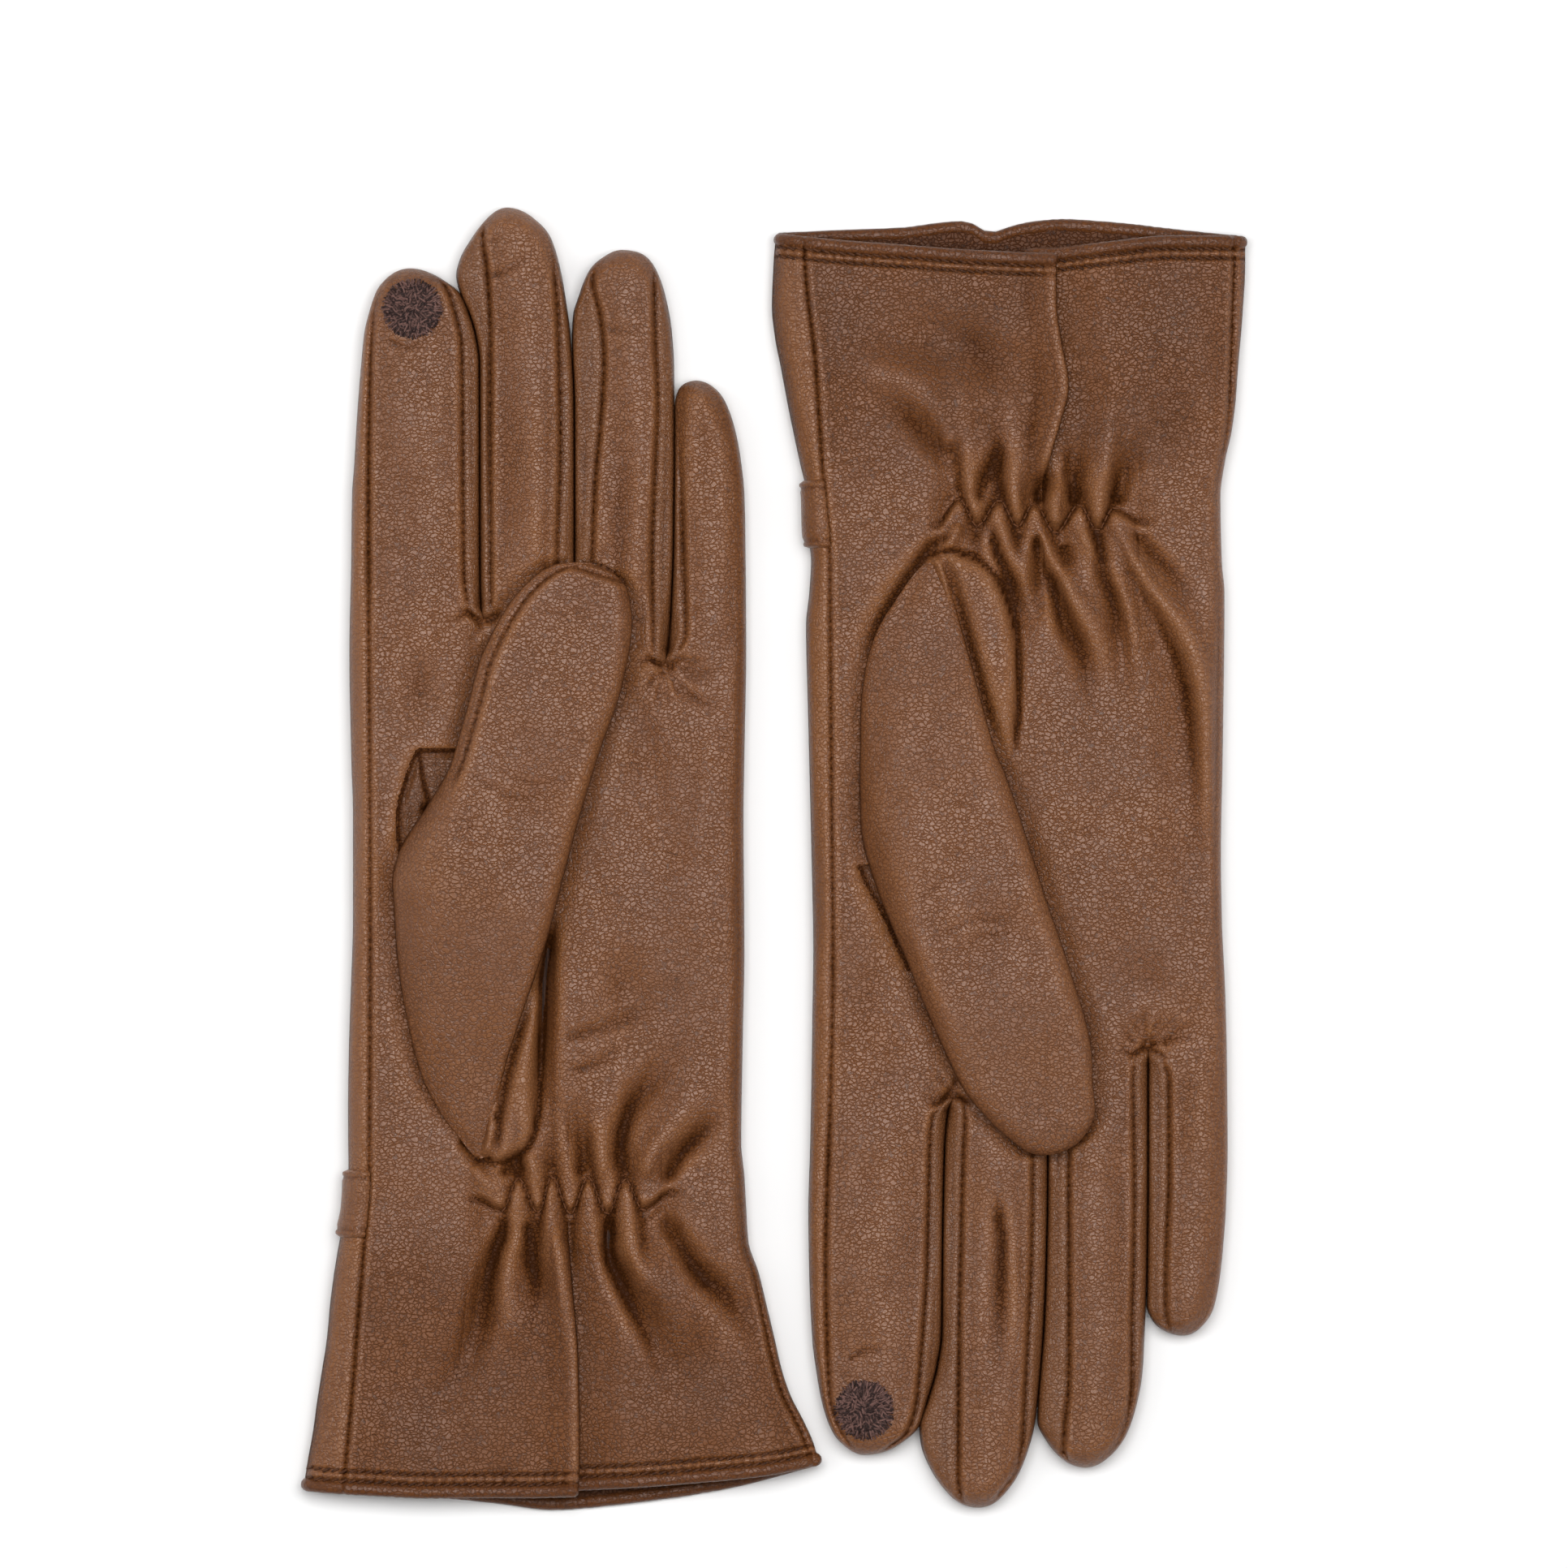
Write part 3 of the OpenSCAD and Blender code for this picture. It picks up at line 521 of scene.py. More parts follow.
def gather_relief(u, v, g):
    """The puckers on both sides of the wrist elastic's zigzag line, and the line itself drawn down."""
    low, high = g["gather_low"], g["gather_high"]
    (u0, v0), (u1, v1) = g["gather_ends"]
    window = smooth(u0 - 3, u0 + 3, u) * (1 - smooth(u1 - 2, u1 + 4, u))
    off = v - curve(u, [(u0 - 8, v0), (u0, v0), *low, *high, (u1, v1), (u1 + 8, v1)])
    middle = (u0 + u1) / 2
    spread = middle + (u - middle) / (1 + 0.010 * np.abs(off))
    wave = curve(spread, [(u0 - 3, 0), *[(a, 1) for a, _ in low], *[(a, -1) for a, _ in high], (u1 + 3, 0)])
    up = 1.7 * wave * np.exp(-np.maximum(off, 0) / 8) * smooth(0, 2.4, off)
    down = -2.0 * wave * np.exp(-np.maximum(-off, 0) / 10) * smooth(0, 2.4, -off)
    pull = -1.2 * np.exp(-((off / 1.0) ** 2)) - 1.0 * np.exp(-((off / 9) ** 2))
    return window * (up + down + pull)


def micro_relief(u, v, seed):
    """Slack and small creases of soft leather."""
    a, b = u + 40 + 3 * seed, v + 90 + 5 * seed
    slack = 0.55 * noise(a / 15, b / 26, 0) + 0.26 * noise(a / 6.3, b / 11.7, 1)
    ridges = np.abs(noise(a / 5.2 + 0.6 * noise(a / 9, b / 9, 3), b / 2.6, 2))
    creases = -0.07 * np.exp(-((ridges / 0.16) ** 2)) * smooth(-0.2, 0.6, noise(a / 15, b / 12, 3))
    return slack + creases


def groove(d, depth=0.7, shoulder=0.3, along_seam=None):
    """A seam: a narrow groove between two raised edges, drawn in at each stitch."""
    pinch = 1 if along_seam is None else 0.8 + 0.2 * np.cos(2 * math.pi * along_seam / STITCH)
    return -depth * pinch * np.exp(-((d / 0.5) ** 2)) + shoulder * np.exp(-(((np.abs(d) - 1.25) / 0.7) ** 2))


# ------------------------------------------------------------------------------------------ meshes
def grid_patch(points, tint=None, flip=False):
    """A grid of points as (points, quads, tint). Its faces look up if its columns run to +u."""
    rows, cols = points.shape[:2]
    index = np.arange(rows * cols).reshape(rows, cols)
    quads = np.stack([index[:-1, :-1], index[:-1, 1:], index[1:, 1:], index[1:, :-1]], -1).reshape(-1, 4)
    tint = np.zeros((rows, cols)) if tint is None else tint
    return points.reshape(-1, 3), quads[:, ::-1] if flip else quads, tint.reshape(-1)


def ring_quads(rows, cols, first=0):
    """The quads of a grid of rings, whose last column meets the first. Its points count from first on."""
    index = np.arange(rows * cols).reshape(rows, cols) + first
    ahead = np.roll(index, -1, axis=1)
    return np.stack([index[:-1], index[1:], ahead[1:], ahead[:-1]], -1).reshape(-1, 4).tolist()


def join_patches(patches):
    """Several (points, quads, tint) patches as one."""
    points, quads, tints, done = [], [], [], 0
    for p, q, t in patches:
        points.append(p)
        quads.append(q + done)
        tints.append(t)
        done += len(p)
    return np.concatenate(points), np.concatenate(quads), np.concatenate(tints)


def weld(points, quads, tint):
    """The same surface with one point where several lie within a micrometre of each other."""
    key = np.round(points * 1000).astype(np.int64)
    _, first, inverse = np.unique(key, axis=0, return_index=True, return_inverse=True)
    return points[first], inverse.reshape(-1)[quads], tint[first]


def face_lists(quads):
    """Quads as polygons without repeated corners; a face with fewer than three corners goes."""
    same = quads == np.roll(quads, -1, axis=1)
    count = same.sum(1)
    faces = quads[count == 0].tolist()
    for quad, repeated in zip(quads[count == 1], same[count == 1]):
        faces.append(quad[~repeated].tolist())
    return faces


def vertex_normals(points, quads):
    a, b, c, d = (points[quads[:, k]] for k in range(4))
    normal = np.cross(c - a, d - b)
    total = np.zeros_like(points)
    for k in range(4):
        np.add.at(total, quads[:, k], normal)
    return total / np.maximum(np.linalg.norm(total, axis=1, keepdims=True), 1e-12)


INSIDE_TINT = 0.6  # how much darker the inner face of a shell is


class Glove:
    """Where one glove lies, and what makes Blender objects of its pieces."""

    def __init__(self, side, table):
        self.side, self.g = side, table
        self.way = 1 if side == "left" else -1
        back_low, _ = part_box(f"{side}_index_back")
        elastic_low, elastic_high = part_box(f"{side}_wrist_elastic")
        self.x0 = back_low.x / MM
        self.y0 = (elastic_low.y + elastic_high.y) / 2 / MM
        self.hand = f"{side}_hand"
        self.objects = {}

    def place(self, points):
        """Points of the glove's own plan in the shared frame, in metres."""
        p = np.asarray(points, float)
        return np.stack([self.x0 + p[..., 0], self.y0 + self.way * p[..., 1], p[..., 2]], -1) * MM

    def make(self, name, points, faces, tint, material, slot, nodes=(), rest=None):
        """A piece of the glove as its own object. Faces look outwards in the glove's own plan."""
        if self.way < 0:
            faces = [f[::-1] for f in faces]
        mesh = bpy.data.meshes.new(f"{self.side}_{name}")
        mesh.from_pydata(self.place(points).tolist(), [], faces)
        mesh.validate()
        mesh.update()
        rest = points if rest is None else rest
        shift = self.g["seed"] * np.array([37.0, 11.0, 0])
        attribute = mesh.attributes.new("rest", "FLOAT_VECTOR", "POINT")
        attribute.data.foreach_set("vector", (rest + shift).astype(np.float32).ravel())
        attribute = mesh.attributes.new("tint", "FLOAT", "POINT")
        attribute.data.foreach_set("value", np.asarray(tint, np.float32))
        mesh.shade_smooth()
        mesh.materials.append(material)
        obj = bpy.data.objects.new(f"{self.side}_{name}_soft", mesh)
        bpy.context.scene.collection.objects.link(obj)
        if nodes:
            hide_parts(*[f"{self.side}_{n}" for n in nodes])
        self.objects[name] = obj
        return obj

    def shell(self, name, patches, material, slot, nodes=(), thickness=LEATHER_T):
        """A sheet with a thickness: the patches as outer faces, the same inside, and a rim where they end."""
        points, quads, tint = weld(*join_patches(patches))
        inner = points - thickness * vertex_normals(points, quads)
        n = len(points)
        edges = np.concatenate([quads[:, [k, (k + 1) % 4]] for k in range(4)])
        edges = edges[edges[:, 0] != edges[:, 1]]
        both = np.sort(edges, axis=1)
        _, which, count = np.unique(both, axis=0, return_inverse=True, return_counts=True)
        rim = edges[count[which.reshape(-1)] == 1]
        m = len(rim)
        a, b = rim[:, 0], rim[:, 1]
        rim_points = np.concatenate([points[a], points[b], inner[b], inner[a]])
        k = np.arange(m) + 2 * n
        rim_quads = np.stack([k + m, k, k + 3 * m, k + 2 * m], -1)
        all_points = np.concatenate([points, inner, rim_points])
        all_tint = np.concatenate([tint, tint + INSIDE_TINT, tint[a], tint[b], tint[b], tint[a]])
        rest = np.concatenate([points, points, points[a], points[b], points[b], points[a]])
        faces = face_lists(quads) + face_lists(quads[:, ::-1] + n) + rim_quads.tolist()
        return self.make(name, all_points, faces, all_tint, material, slot, nodes, rest)

    def with_hand(self, *objs):
        for obj in objs:
            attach(obj, self.hand)

    def with_finger(self, i, *objs):
        for obj in objs:
            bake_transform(obj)

    def with_thumb(self, *objs):
        for obj in objs:
            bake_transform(obj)


# ------------------------------------------------------------------------------------------ sheets
# Cells across a strip: on the palm side a band at each edge up to its seam and the front between them, and on
# the back the same. The names below give the columns of each.
BAND_CELLS, FRONT_CELLS = 8, 26
BACK_BAND_CELLS, BACK_CELLS = 6, 14


LEFT_BAND = (0, BAND_CELLS)
FRONT = (BAND_CELLS, BAND_CELLS + FRONT_CELLS)
RIGHT_BAND = (FRONT[1], FRONT[1] + BAND_CELLS)
BACK_LEFT = (0, BACK_BAND_CELLS)
BACK_MID = (BACK_BAND_CELLS, BACK_BAND_CELLS + BACK_CELLS)
BACK_RIGHT = (BACK_MID[1], BACK_MID[1] + BACK_BAND_CELLS)
TOP, BACK = True, False


def spaced(n, ends=0.55):
    """n steps from 0 to 1, closer together at both ends."""
    k = np.arange(n + 1) / n
    return (1 - ends) * k + ends * (1 - np.cos(math.pi * k)) / 2


def strip_rows(g, i):
    """v of a strip's rows: shared up to the finger gaps, then its own up to the tip."""
    gap_0, gap_1, gap_2 = sorted(v for _, v in g["crotch"])
    tip, split = g["tips"][i][0], FOLD_V[i] - FOLD_HALF
    cap = 14
    stretches = [
        (HEM_V, -58, 0.42), (-58, -9, 0.75), (-9, 7, 0.5), (7, gap_0, 0.75), (gap_0, gap_1, 0.75),
        (gap_1, gap_2, 0.75), (gap_2, 131, 0.6), (131, split, 0.75), (split, tip - cap, 0.75),
    ]
    rows = [np.array([HEM_V])]
    for a, b, step in stretches:
        rows.append(np.linspace(a, b, max(2, round((b - a) / step) + 1))[1:])
    s = np.linspace(math.sqrt(cap), 0, 34)[1:]
    rows.append(tip - s * s)
    return np.concatenate(rows)


def columns(edges, steps):
    """u of every point of a strip: each stretch between two edges, split into its own steps."""
    parts = [edges[0][:, None]]
    for a, b, step in zip(edges[:-1], edges[1:], steps):
        parts.append(a[:, None] + (b - a)[:, None] * step[1:])
    return np.concatenate(parts, 1)


class Sheets:
    """The palm-side sheet and the back sheet of one glove, as four strips each."""

    def __init__(self, g):
        self.g = g
        self.lines = outlines(g)
        self.inner = [[*line, (v, u)] for line, (u, v) in zip(g["inner"], g["crotch"])]
        self.v = [strip_rows(g, i) for i in range(4)]
        self.top, self.back = zip(*[self.build_strip(i) for i in range(4)])
        # Painted shade and light: hollows are painted darker and ridges lighter, and the cuffs a little
        # darker than the hands, as painted shade for their broad slopes.
        self.top_painted_shade = [self.hollows(p) + 0.28 * smooth(-2, -22, p[..., 1]) for p in self.top]
        self.back_painted_shade = [-self.hollows(p) for p in self.back]
        self.cloud = np.concatenate([p.reshape(-1, 3) for p in self.top])

    def row(self, i, v):
        """The row of strip i that lies nearest to v."""
        return int(np.argmin(np.abs(self.v[i] - v)))

    def line(self, i, v, which):
        """Outline or seam of strip i at v: below a finger gap the strips share their edge."""
        if which == "seam_right" and i == 3:
            return self.line(3, v, "right") - curve(v, self.g["wrap"])
        table, tip = self.lines[which][i], self.g["tips"][i][0]
        k = i - 1 if which.endswith("left") else i
        if k not in (0, 1, 2):
            return edge_u(v, table, tip)
        start = table[0][0]
        gap_u, gap_v = self.g["crotch"][k]
        free = edge_u(np.maximum(v, start), table, tip)
        shared = curve(np.minimum(v, gap_v), self.inner[k])
        if which.startswith("seam"):
            step = edge_u(np.array([start]), table, tip)[0] - gap_u
            return np.where(v < start, shared + step, free)
        return np.where(v < gap_v, shared, free)

    def build_strip(self, i):
        """Strip i as a grid of palm-side points and a grid of back points."""
        g, v = self.g, self.v[i]
        tip = g["tips"][i][0]
        left, right = self.line(i, v, "left"), self.line(i, v, "right")
        seam_l = np.clip(self.line(i, v, "seam_left"), left, right)
        seam_r = np.clip(self.line(i, v, "seam_right"), seam_l, right)
        band, front = spaced(BAND_CELLS), spaced(FRONT_CELLS, 0.6)
        u = columns((left, seam_l, seam_r, right), (band, front, band))
        vv = np.repeat(v[:, None], u.shape[1], 1)
        z = Z_MID + TOP_RISE * self.profile(i, u, vv, left, right, tip)
        z += self.top_relief(i, u, vv, seam_l, seam_r, left, right, tip)
        top = np.stack([u, vv + self.shift_v(i, u, vv, True), z], -1)

        inset = np.minimum(2.6, (right - left) / 3)
        low, high = left + inset, right - inset
        back_band, back = spaced(BACK_BAND_CELLS), spaced(BACK_CELLS, 0.6)
        ub = columns((left, low, high, right), (back_band, back, back_band))
        vb = np.repeat(v[:, None], ub.shape[1], 1)
        depth = BACK_DROP * self.profile(i, ub, vb, left, right, tip)
        seams = self.seam_relief(i, ub, vb, low, high, left, right, tip)
        body = smooth(0.5, 3, np.minimum(ub - left[:, None], right[:, None] - ub))
        slack = 0.25 * micro_relief(ub + 31, vb + 17, g["seed"])
        zb = Z_MID - depth - body * (0.9 * seams + slack) + 0.35 * body
        # The back is pressed in where the wrist strap lies between it and the floor.
        pressed = smooth(STRAP_V[0] - 1.8, STRAP_V[0] - 0.4, vb)
        pressed *= 1 - smooth(STRAP_V[1] + 0.4, STRAP_V[1] + 1.8, vb)
        pressed *= 1 - smooth(STRAP_END_U + 0.5, STRAP_END_U + 2, ub)
        zb += 1.35 * pressed * smooth(0, 2, ub - left[:, None])
        back_points = np.stack([ub, vb + self.shift_v(i, ub, vb, False), np.maximum(zb, FLOOR_GAP)], -1)
        return top, back_points

    def open_gap(self, i, v, left_side):
        """0 where strip i is one with its neighbour on that side, 1 where it is a finger of its own."""
        k = i - 1 if left_side else i
        if k < 0 or k > 2:
            return np.ones(v.shape)
        return smooth(self.g["crotch"][k][1] - 0.6, self.g["crotch"][k][1] + 3.5, v)

    def profile(self, i, u, v, left, right, tip):
        """1 on the flat of the glove, falling to 0 at its outline like the side of a tube."""
        cuff = 1 - smooth(-60, -12, v)
        result = rounded(tip - v, 7.0)
        for side, d in ((True, u - left[:, None]), (False, right[:, None] - u)):
            outer = (i == 0) if side else (i == 3)
            w = (4.8 + (5 if side else 17) * cuff) if outer else 4.2
            part = rounded(d, w)
            result = result * (1 - self.open_gap(i, v, side) * (1 - part))
        return result

    def seam_relief(self, i, u, v, seam_l, seam_r, left, right, tip):
        """The grooves along both seams of a strip, where it is a finger or meets the side of the hand."""
        total = np.zeros(u.shape)
        near_tip = smooth(0, 4, tip - v)
        for side, seam in ((True, seam_l), (False, seam_r)):
            outer = (i == 0) if side else (i == 3)
            weak = 0.35 + 0.65 * (1 - smooth(-20, 0, v)) if (outer and not side) else 1
            wide = np.abs((left if side else right) - seam)[:, None]
            strength = weak * near_tip * smooth(0.4, 1.6, wide) * self.open_gap(i, v, side)
            total += strength * groove(u - seam[:, None], along_seam=v)
        return total

    def top_relief(self, i, u, v, seam_l, seam_r, left, right, tip):
        """Everything that stands up from or sinks into the rounded palm side."""
        g = self.g
        body = np.ones(u.shape)
        if i == 0:
            body = smooth(0.6, 4, u - left[:, None])
        if i == 3:
            body = smooth(0.6, 4, right[:, None] - u)
        for side, edge in ((True, left), (False, right)):
            body = body * (1 - self.open_gap(i, v, side) * (1 - smooth(0.3, 2.2, np.abs(u - edge[:, None]))))
        body = body * smooth(0.3, 4, tip - v)
        relief = micro_relief(u, v, g["seed"]) + gather_relief(u, v, g)
        for fold in g["folds"]:
            relief += fold_relief(u, v, fold)
        for star in g["star"]:
            relief += star_relief(u, v, star)
        relief -= 1.6 * smooth(-0.3, 0.9, self.gusset_edge(u, v))
        relief += self.pocket_relief(u, v) + self.finger_dome(i, u, v, seam_l, seam_r) + thumb_hollow(g, u, v)
        result = relief * body + self.seam_relief(i, u, v, seam_l, seam_r, left, right, tip)
        result = result + self.hem_relief(u, v) + self.vent_relief(i, u, v, left, right)
        return result + self.crotch_relief(i, u, v)

    def finger_dome(self, i, u, v, seam_l, seam_r):
        """A finger's front panel is arched between its seams, which lie a little lower."""
        gap = max(self.g["crotch"][k][1] for k in (i - 1, i) if 0 <= k <= 2)
        x = 2 * (u - seam_l[:, None]) / np.maximum(seam_r - seam_l, 1)[:, None] - 1
        arch = np.where(np.abs(x) < 1, 1.8 * (1 - x * x) - 1.05, -1.05)
        return arch * smooth(gap - 4, gap + 14, v)

    def pocket_relief(self, u, v):
        """The thumb's pocket: leather that bulges out between the thumb's edge and a sewn curve."""
        out = np.zeros(u.shape)
        near = (u > 15) & (u < 62) & (v > -4) & (v < 68)
        if not near.any():
            return out
        u, v = u[near], v[near]
        d, t = along(u, v, dense_line(self.g["pocket"], 30))
        p, q = thumb_plan(u, v)
        outside = p - curve(q, self.g["thumb_right"])
        ends = smooth(0, 0.08, t) * (1 - smooth(0.8, 1, t))
        bulge = 2.6 * rounded(np.maximum(-d, 0), 3.4, 2.0)
        bulge *= smooth(-2.5, -0.3, outside) * (1 - smooth(44, 56, v))
        hollow = -1.8 * np.exp(-((outside - 0.8) / 1.5) ** 2) * (d < 0) * ends
        sewn = -1.5 * np.exp(-((np.maximum(d, 0) / 1.1) ** 2) - (np.minimum(d, 0) / 0.4) ** 2) * ends
        out[near] = bulge * (d < 0) + hollow + sewn
        return out

    def gusset_edge(self, u, v):
        """How far a point lies inside the opening that the thumb's gusset closes."""
        low, high = self.g["gusset"]
        inside = np.minimum(u - curve(v, low), 0.9 * (low[-1][0] - v))
        return np.where((v > low[0][0]) & (u < curve(v, high) + 6), inside, -1.0)

    def hem_relief(self, u, v):
        """Two stitched rows near the hem, with the leather puckered between them."""
        d = v - HEM_V
        pucker = 0.5 + 0.5 * np.cos(2 * math.pi * u / STITCH)
        rows = sum(-0.55 * np.exp(-(((d - row) / 0.42) ** 2)) for row in HEM_ROWS)
        between = 0.8 * pucker * np.exp(-(((d - sum(HEM_ROWS) / 2) / 0.7) ** 2))
        return rows + between + 0.3 * np.exp(-(((d - 1.2) / 0.8) ** 2))

    def vent_open(self, v):
        """1 along the cuff's vent, 0 above its end."""
        return 1 - smooth(-14, -4, v)

    def vent_relief(self, i, u, v, left, right):
        """The index-side flap of the cuff's vent stands over the other, with a rounded edge."""
        if i == 1:
            d = right[:, None] - u
            return self.vent_open(v) * (2.2 * (1 - smooth(0, 7, d)) - 1.9 * (1 - rounded(d, 1.7)))
        if i == 2:
            d = u - left[:, None]
            return -2.2 * self.vent_open(v) * (1 - smooth(0, 11, d))
        return np.zeros(u.shape)

    def crotch_relief(self, i, u, v):
        """The stitched end of the strips between two fingers."""
        total = np.zeros(u.shape)
        for k, (cu, cv) in enumerate(self.g["crotch"]):
            if i in (k, k + 1):
                x = (u - cu) / 3.8
                window = 1 - smooth(0.6, 1.3, np.abs(x))
                sewn = -1.0 * np.exp(-(((v - cv) / 0.8) ** 2))
                total += window * (sewn + 0.4 * np.exp(-(((v - cv + 1.7) / 0.8) ** 2)))
        return total

    def shift_v(self, i, u, v, top):
        """How far points move along the glove: to the hem's true line, and up beside a finger gap."""
        g = self.g
        table = g["hem_index" if i < 2 else "hem_little"] if top else g["hem_back"]
        shift = curve(u, table) * (1 - smooth(HEM_V, -34, v))
        if top:
            for k, (cu, cv) in enumerate(g["crotch"]):
                if i in (k, k + 1):
                    x = np.abs(u - cu) / 3.8
                    arch = np.where(x < 1, x * x, np.exp(-1.2 * (x - 1)))
                    shift += 1.7 * arch * np.exp(-(((v - cv) / 4) ** 2))
        return shift

    def hollows(self, points):
        """How deep each point lies below its surroundings: positive in grooves, negative on ridges. It is
        used as painted shade in grooves and painted light on ridges.
        """
        z = points[..., 2]
        wide = z.copy()
        fine = None
        for step in range(28):
            padded = np.pad(wide, 1, mode="edge")
            wide = 0.25 * (padded[:-2, 1:-1] + padded[2:, 1:-1] + padded[1:-1, :-2] + padded[1:-1, 2:])
            if step == 5:
                fine = wide.copy()
        near = np.sign(fine - z) * np.maximum(np.abs(fine - z) - 0.03, 0)
        return 0.6 * np.clip(near / 0.35, -1, 1.6) + 0.12 * np.clip((wide - z) / 1.0, -1, 1.4)

    def part(self, side, i, v0, v1, cols):
        """A patch of the palm side (TOP) or the back (BACK) of strip i, from v0 to v1, facing outwards."""
        grids, tints = (self.top, self.top_painted_shade) if side == TOP else (self.back, self.back_painted_shade)
        rows, cells = slice(self.row(i, v0), self.row(i, v1) + 1), slice(cols[0], cols[1] + 1)
        return grid_patch(grids[i][rows, cells], tints[i][rows, cells], flip=side == BACK)

    def surface_z(self, u, v):
        """Height of the palm-side sheet at points (u, v): the mean of the three nearest of its own points."""
        out = np.zeros(u.shape)
        for k in np.ndindex(u.shape):
            near = np.argpartition((self.cloud[:, 0] - u[k]) ** 2 + (self.cloud[:, 1] - v[k]) ** 2, 3)[:3]
            out[k] = self.cloud[near, 2].mean()
        return out


# ------------------------------------------------------------------------------------------ materials
def linear(r, g, b):
    """A colour given as 8-bit sRGB numbers, as linear RGBA."""
    return tuple(((c / 255 + 0.055) / 1.055) ** 2.4 if c > 10 else c / 255 / 12.92 for c in (r, g, b)) + (1,)


class Nodes:
    """A short way to write a material's nodes."""

    def __init__(self, name):
        self.material = bpy.data.materials.new(name)
        self.material.use_nodes = True
        self.tree = self.material.node_tree
        self.tree.nodes.clear()
        self.shader = self.add("ShaderNodeBsdfPrincipled")
        output = self.add("ShaderNodeOutputMaterial")
        self.link(self.shader.outputs[0], output.inputs[0])

    def add(self, kind, **values):
        node = self.tree.nodes.new(kind)
        for key, value in values.items():
            setattr(node, key, value)
        return node

    def link(self, a, b):
        self.tree.links.new(a, b)

    def feed(self, socket, value):
        if isinstance(value, bpy.types.NodeSocket):
            self.link(value, socket)
        else:
            socket.default_value = value

    def attribute(self, name):
        return self.add("ShaderNodeAttribute", attribute_name=name)

    def math(self, operation, *values, clamp=False):
        node = self.add("ShaderNodeMath", operation=operation, use_clamp=clamp)
        for socket, value in zip(node.inputs, values):
            self.feed(socket, value)
        return node.outputs[0]

    def add_up(self, *terms):
        """The sum of (value, factor) terms."""
        total = None
        for value, factor in terms:
            term = value if factor == 1 else self.math("MULTIPLY", value, factor)
            total = term if total is None else self.math("ADD", total, term)
        return total

    def scaled(self, vector, scale):
        node = self.add("ShaderNodeVectorMath", operation="MULTIPLY")
        self.feed(node.inputs[0], vector)
        node.inputs[1].default_value = scale
        return node.outputs[0]

    def moved(self, vector, amount):
        node = self.add("ShaderNodeVectorMath", operation="ADD")
        self.feed(node.inputs[0], vector)
        self.feed(node.inputs[1], amount)
        return node.outputs[0]

    def noise(self, vector, scale, detail=2.0, roughness=0.5):
        node = self.add("ShaderNodeTexNoise")
        self.feed(node.inputs["Vector"], vector)
        node.inputs["Scale"].default_value = scale
        node.inputs["Detail"].default_value = detail
        node.inputs["Roughness"].default_value = roughness
        return node

    def range(self, value, low, high, to_low=0.0, to_high=1.0):
        node = self.add("ShaderNodeMapRange")
        self.feed(node.inputs["Value"], value)
        for name, number in (("From Min", low), ("From Max", high), ("To Min", to_low), ("To Max", to_high)):
            node.inputs[name].default_value = number
        return node.outputs[0]

    def mix(self, factor, a, b):
        node = self.add("ShaderNodeMix", data_type="RGBA")
        self.feed(node.inputs[0], factor)
        self.feed(node.inputs[6], a)
        self.feed(node.inputs[7], b)
        return node.outputs[2]

    def bump(self, height, strength, distance, normal=None):
        node = self.add("ShaderNodeBump")
        self.feed(node.inputs["Height"], height)
        node.inputs["Strength"].default_value = strength
        node.inputs["Distance"].default_value = distance
        if normal is not None:
            self.link(normal, node.inputs["Normal"])
        return node.outputs[0]


def leather(name, dark, base, light, roughness=0.40, grain=1.0, shine=0.46):
    """Soft leather with small cells about a millimetre wide, fine creases, and painted shade: hollows painted
    darker and duller by the tint attribute.
    """
    n = Nodes(name)
    rest = n.attribute("rest").outputs["Vector"]
    tint = n.attribute("tint").outputs["Fac"]
    warp = n.scaled(n.moved(n.noise(rest, 0.45, 2).outputs["Color"], (-0.5, -0.5, -0.5)), (1.6, 1.6, 1.6))
    where = n.moved(n.scaled(rest, (0.8, 1.0, 0.8)), warp)
    cells = n.add("ShaderNodeTexVoronoi", feature="DISTANCE_TO_EDGE")
    n.feed(cells.inputs["Vector"], where)
    cells.inputs["Scale"].default_value = 1.2
    pebble = n.range(cells.outputs["Distance"], 0.0, 0.17)
    fine = n.noise(rest, 3.2, 3, 0.6).outputs["Fac"]
    patches = n.noise(rest, 0.055, 2).outputs["Fac"]
    show = n.range(n.noise(rest, 0.07, 2).outputs["Fac"], 0.35, 0.65, 0.7, 1.0)
    slack = n.range(n.noise(rest, 0.11, 1).outputs["Fac"], 0.42, 0.62)
    crease_noise = n.noise(n.moved(n.scaled(rest, (0.14, 0.40, 0.3)), warp), 1.0, 3, 0.55).outputs["Fac"]
    crease = n.range(n.math("ABSOLUTE", n.math("SUBTRACT", crease_noise, 0.5)), 0.0, 0.016)
    crease = n.math("SUBTRACT", 1.0, n.math("MULTIPLY", n.math("SUBTRACT", 1.0, crease), slack))
    shown = n.math("MULTIPLY", pebble, show)
    height = n.add_up((shown, 1), (fine, 0.2), (crease, 0.4))
    n.feed(n.shader.inputs["Normal"], n.bump(height, 0.5 * grain, 0.00026))
    # The tint attribute is painted shade: it darkens the colour here and dulls the sheen below; a negative
    # tint, on ridges, is painted light.
    lift = n.add_up((shown, 0.38), (fine, 0.15), (patches, 0.22), (crease, 0.26), (tint, -0.44))
    colour = n.mix(n.range(lift, 0.13, 0.69), dark, base)
    colour = n.mix(n.range(lift, 0.69, 1.0), colour, light)
    n.feed(n.shader.inputs["Base Color"], colour)
    n.feed(n.shader.inputs["Roughness"], n.range(fine, 0.3, 0.7, roughness - 0.05, roughness + 0.07))
    n.feed(n.shader.inputs["Specular IOR Level"], n.range(tint, -0.1, 0.7, shine, 0.05))
    return n.material


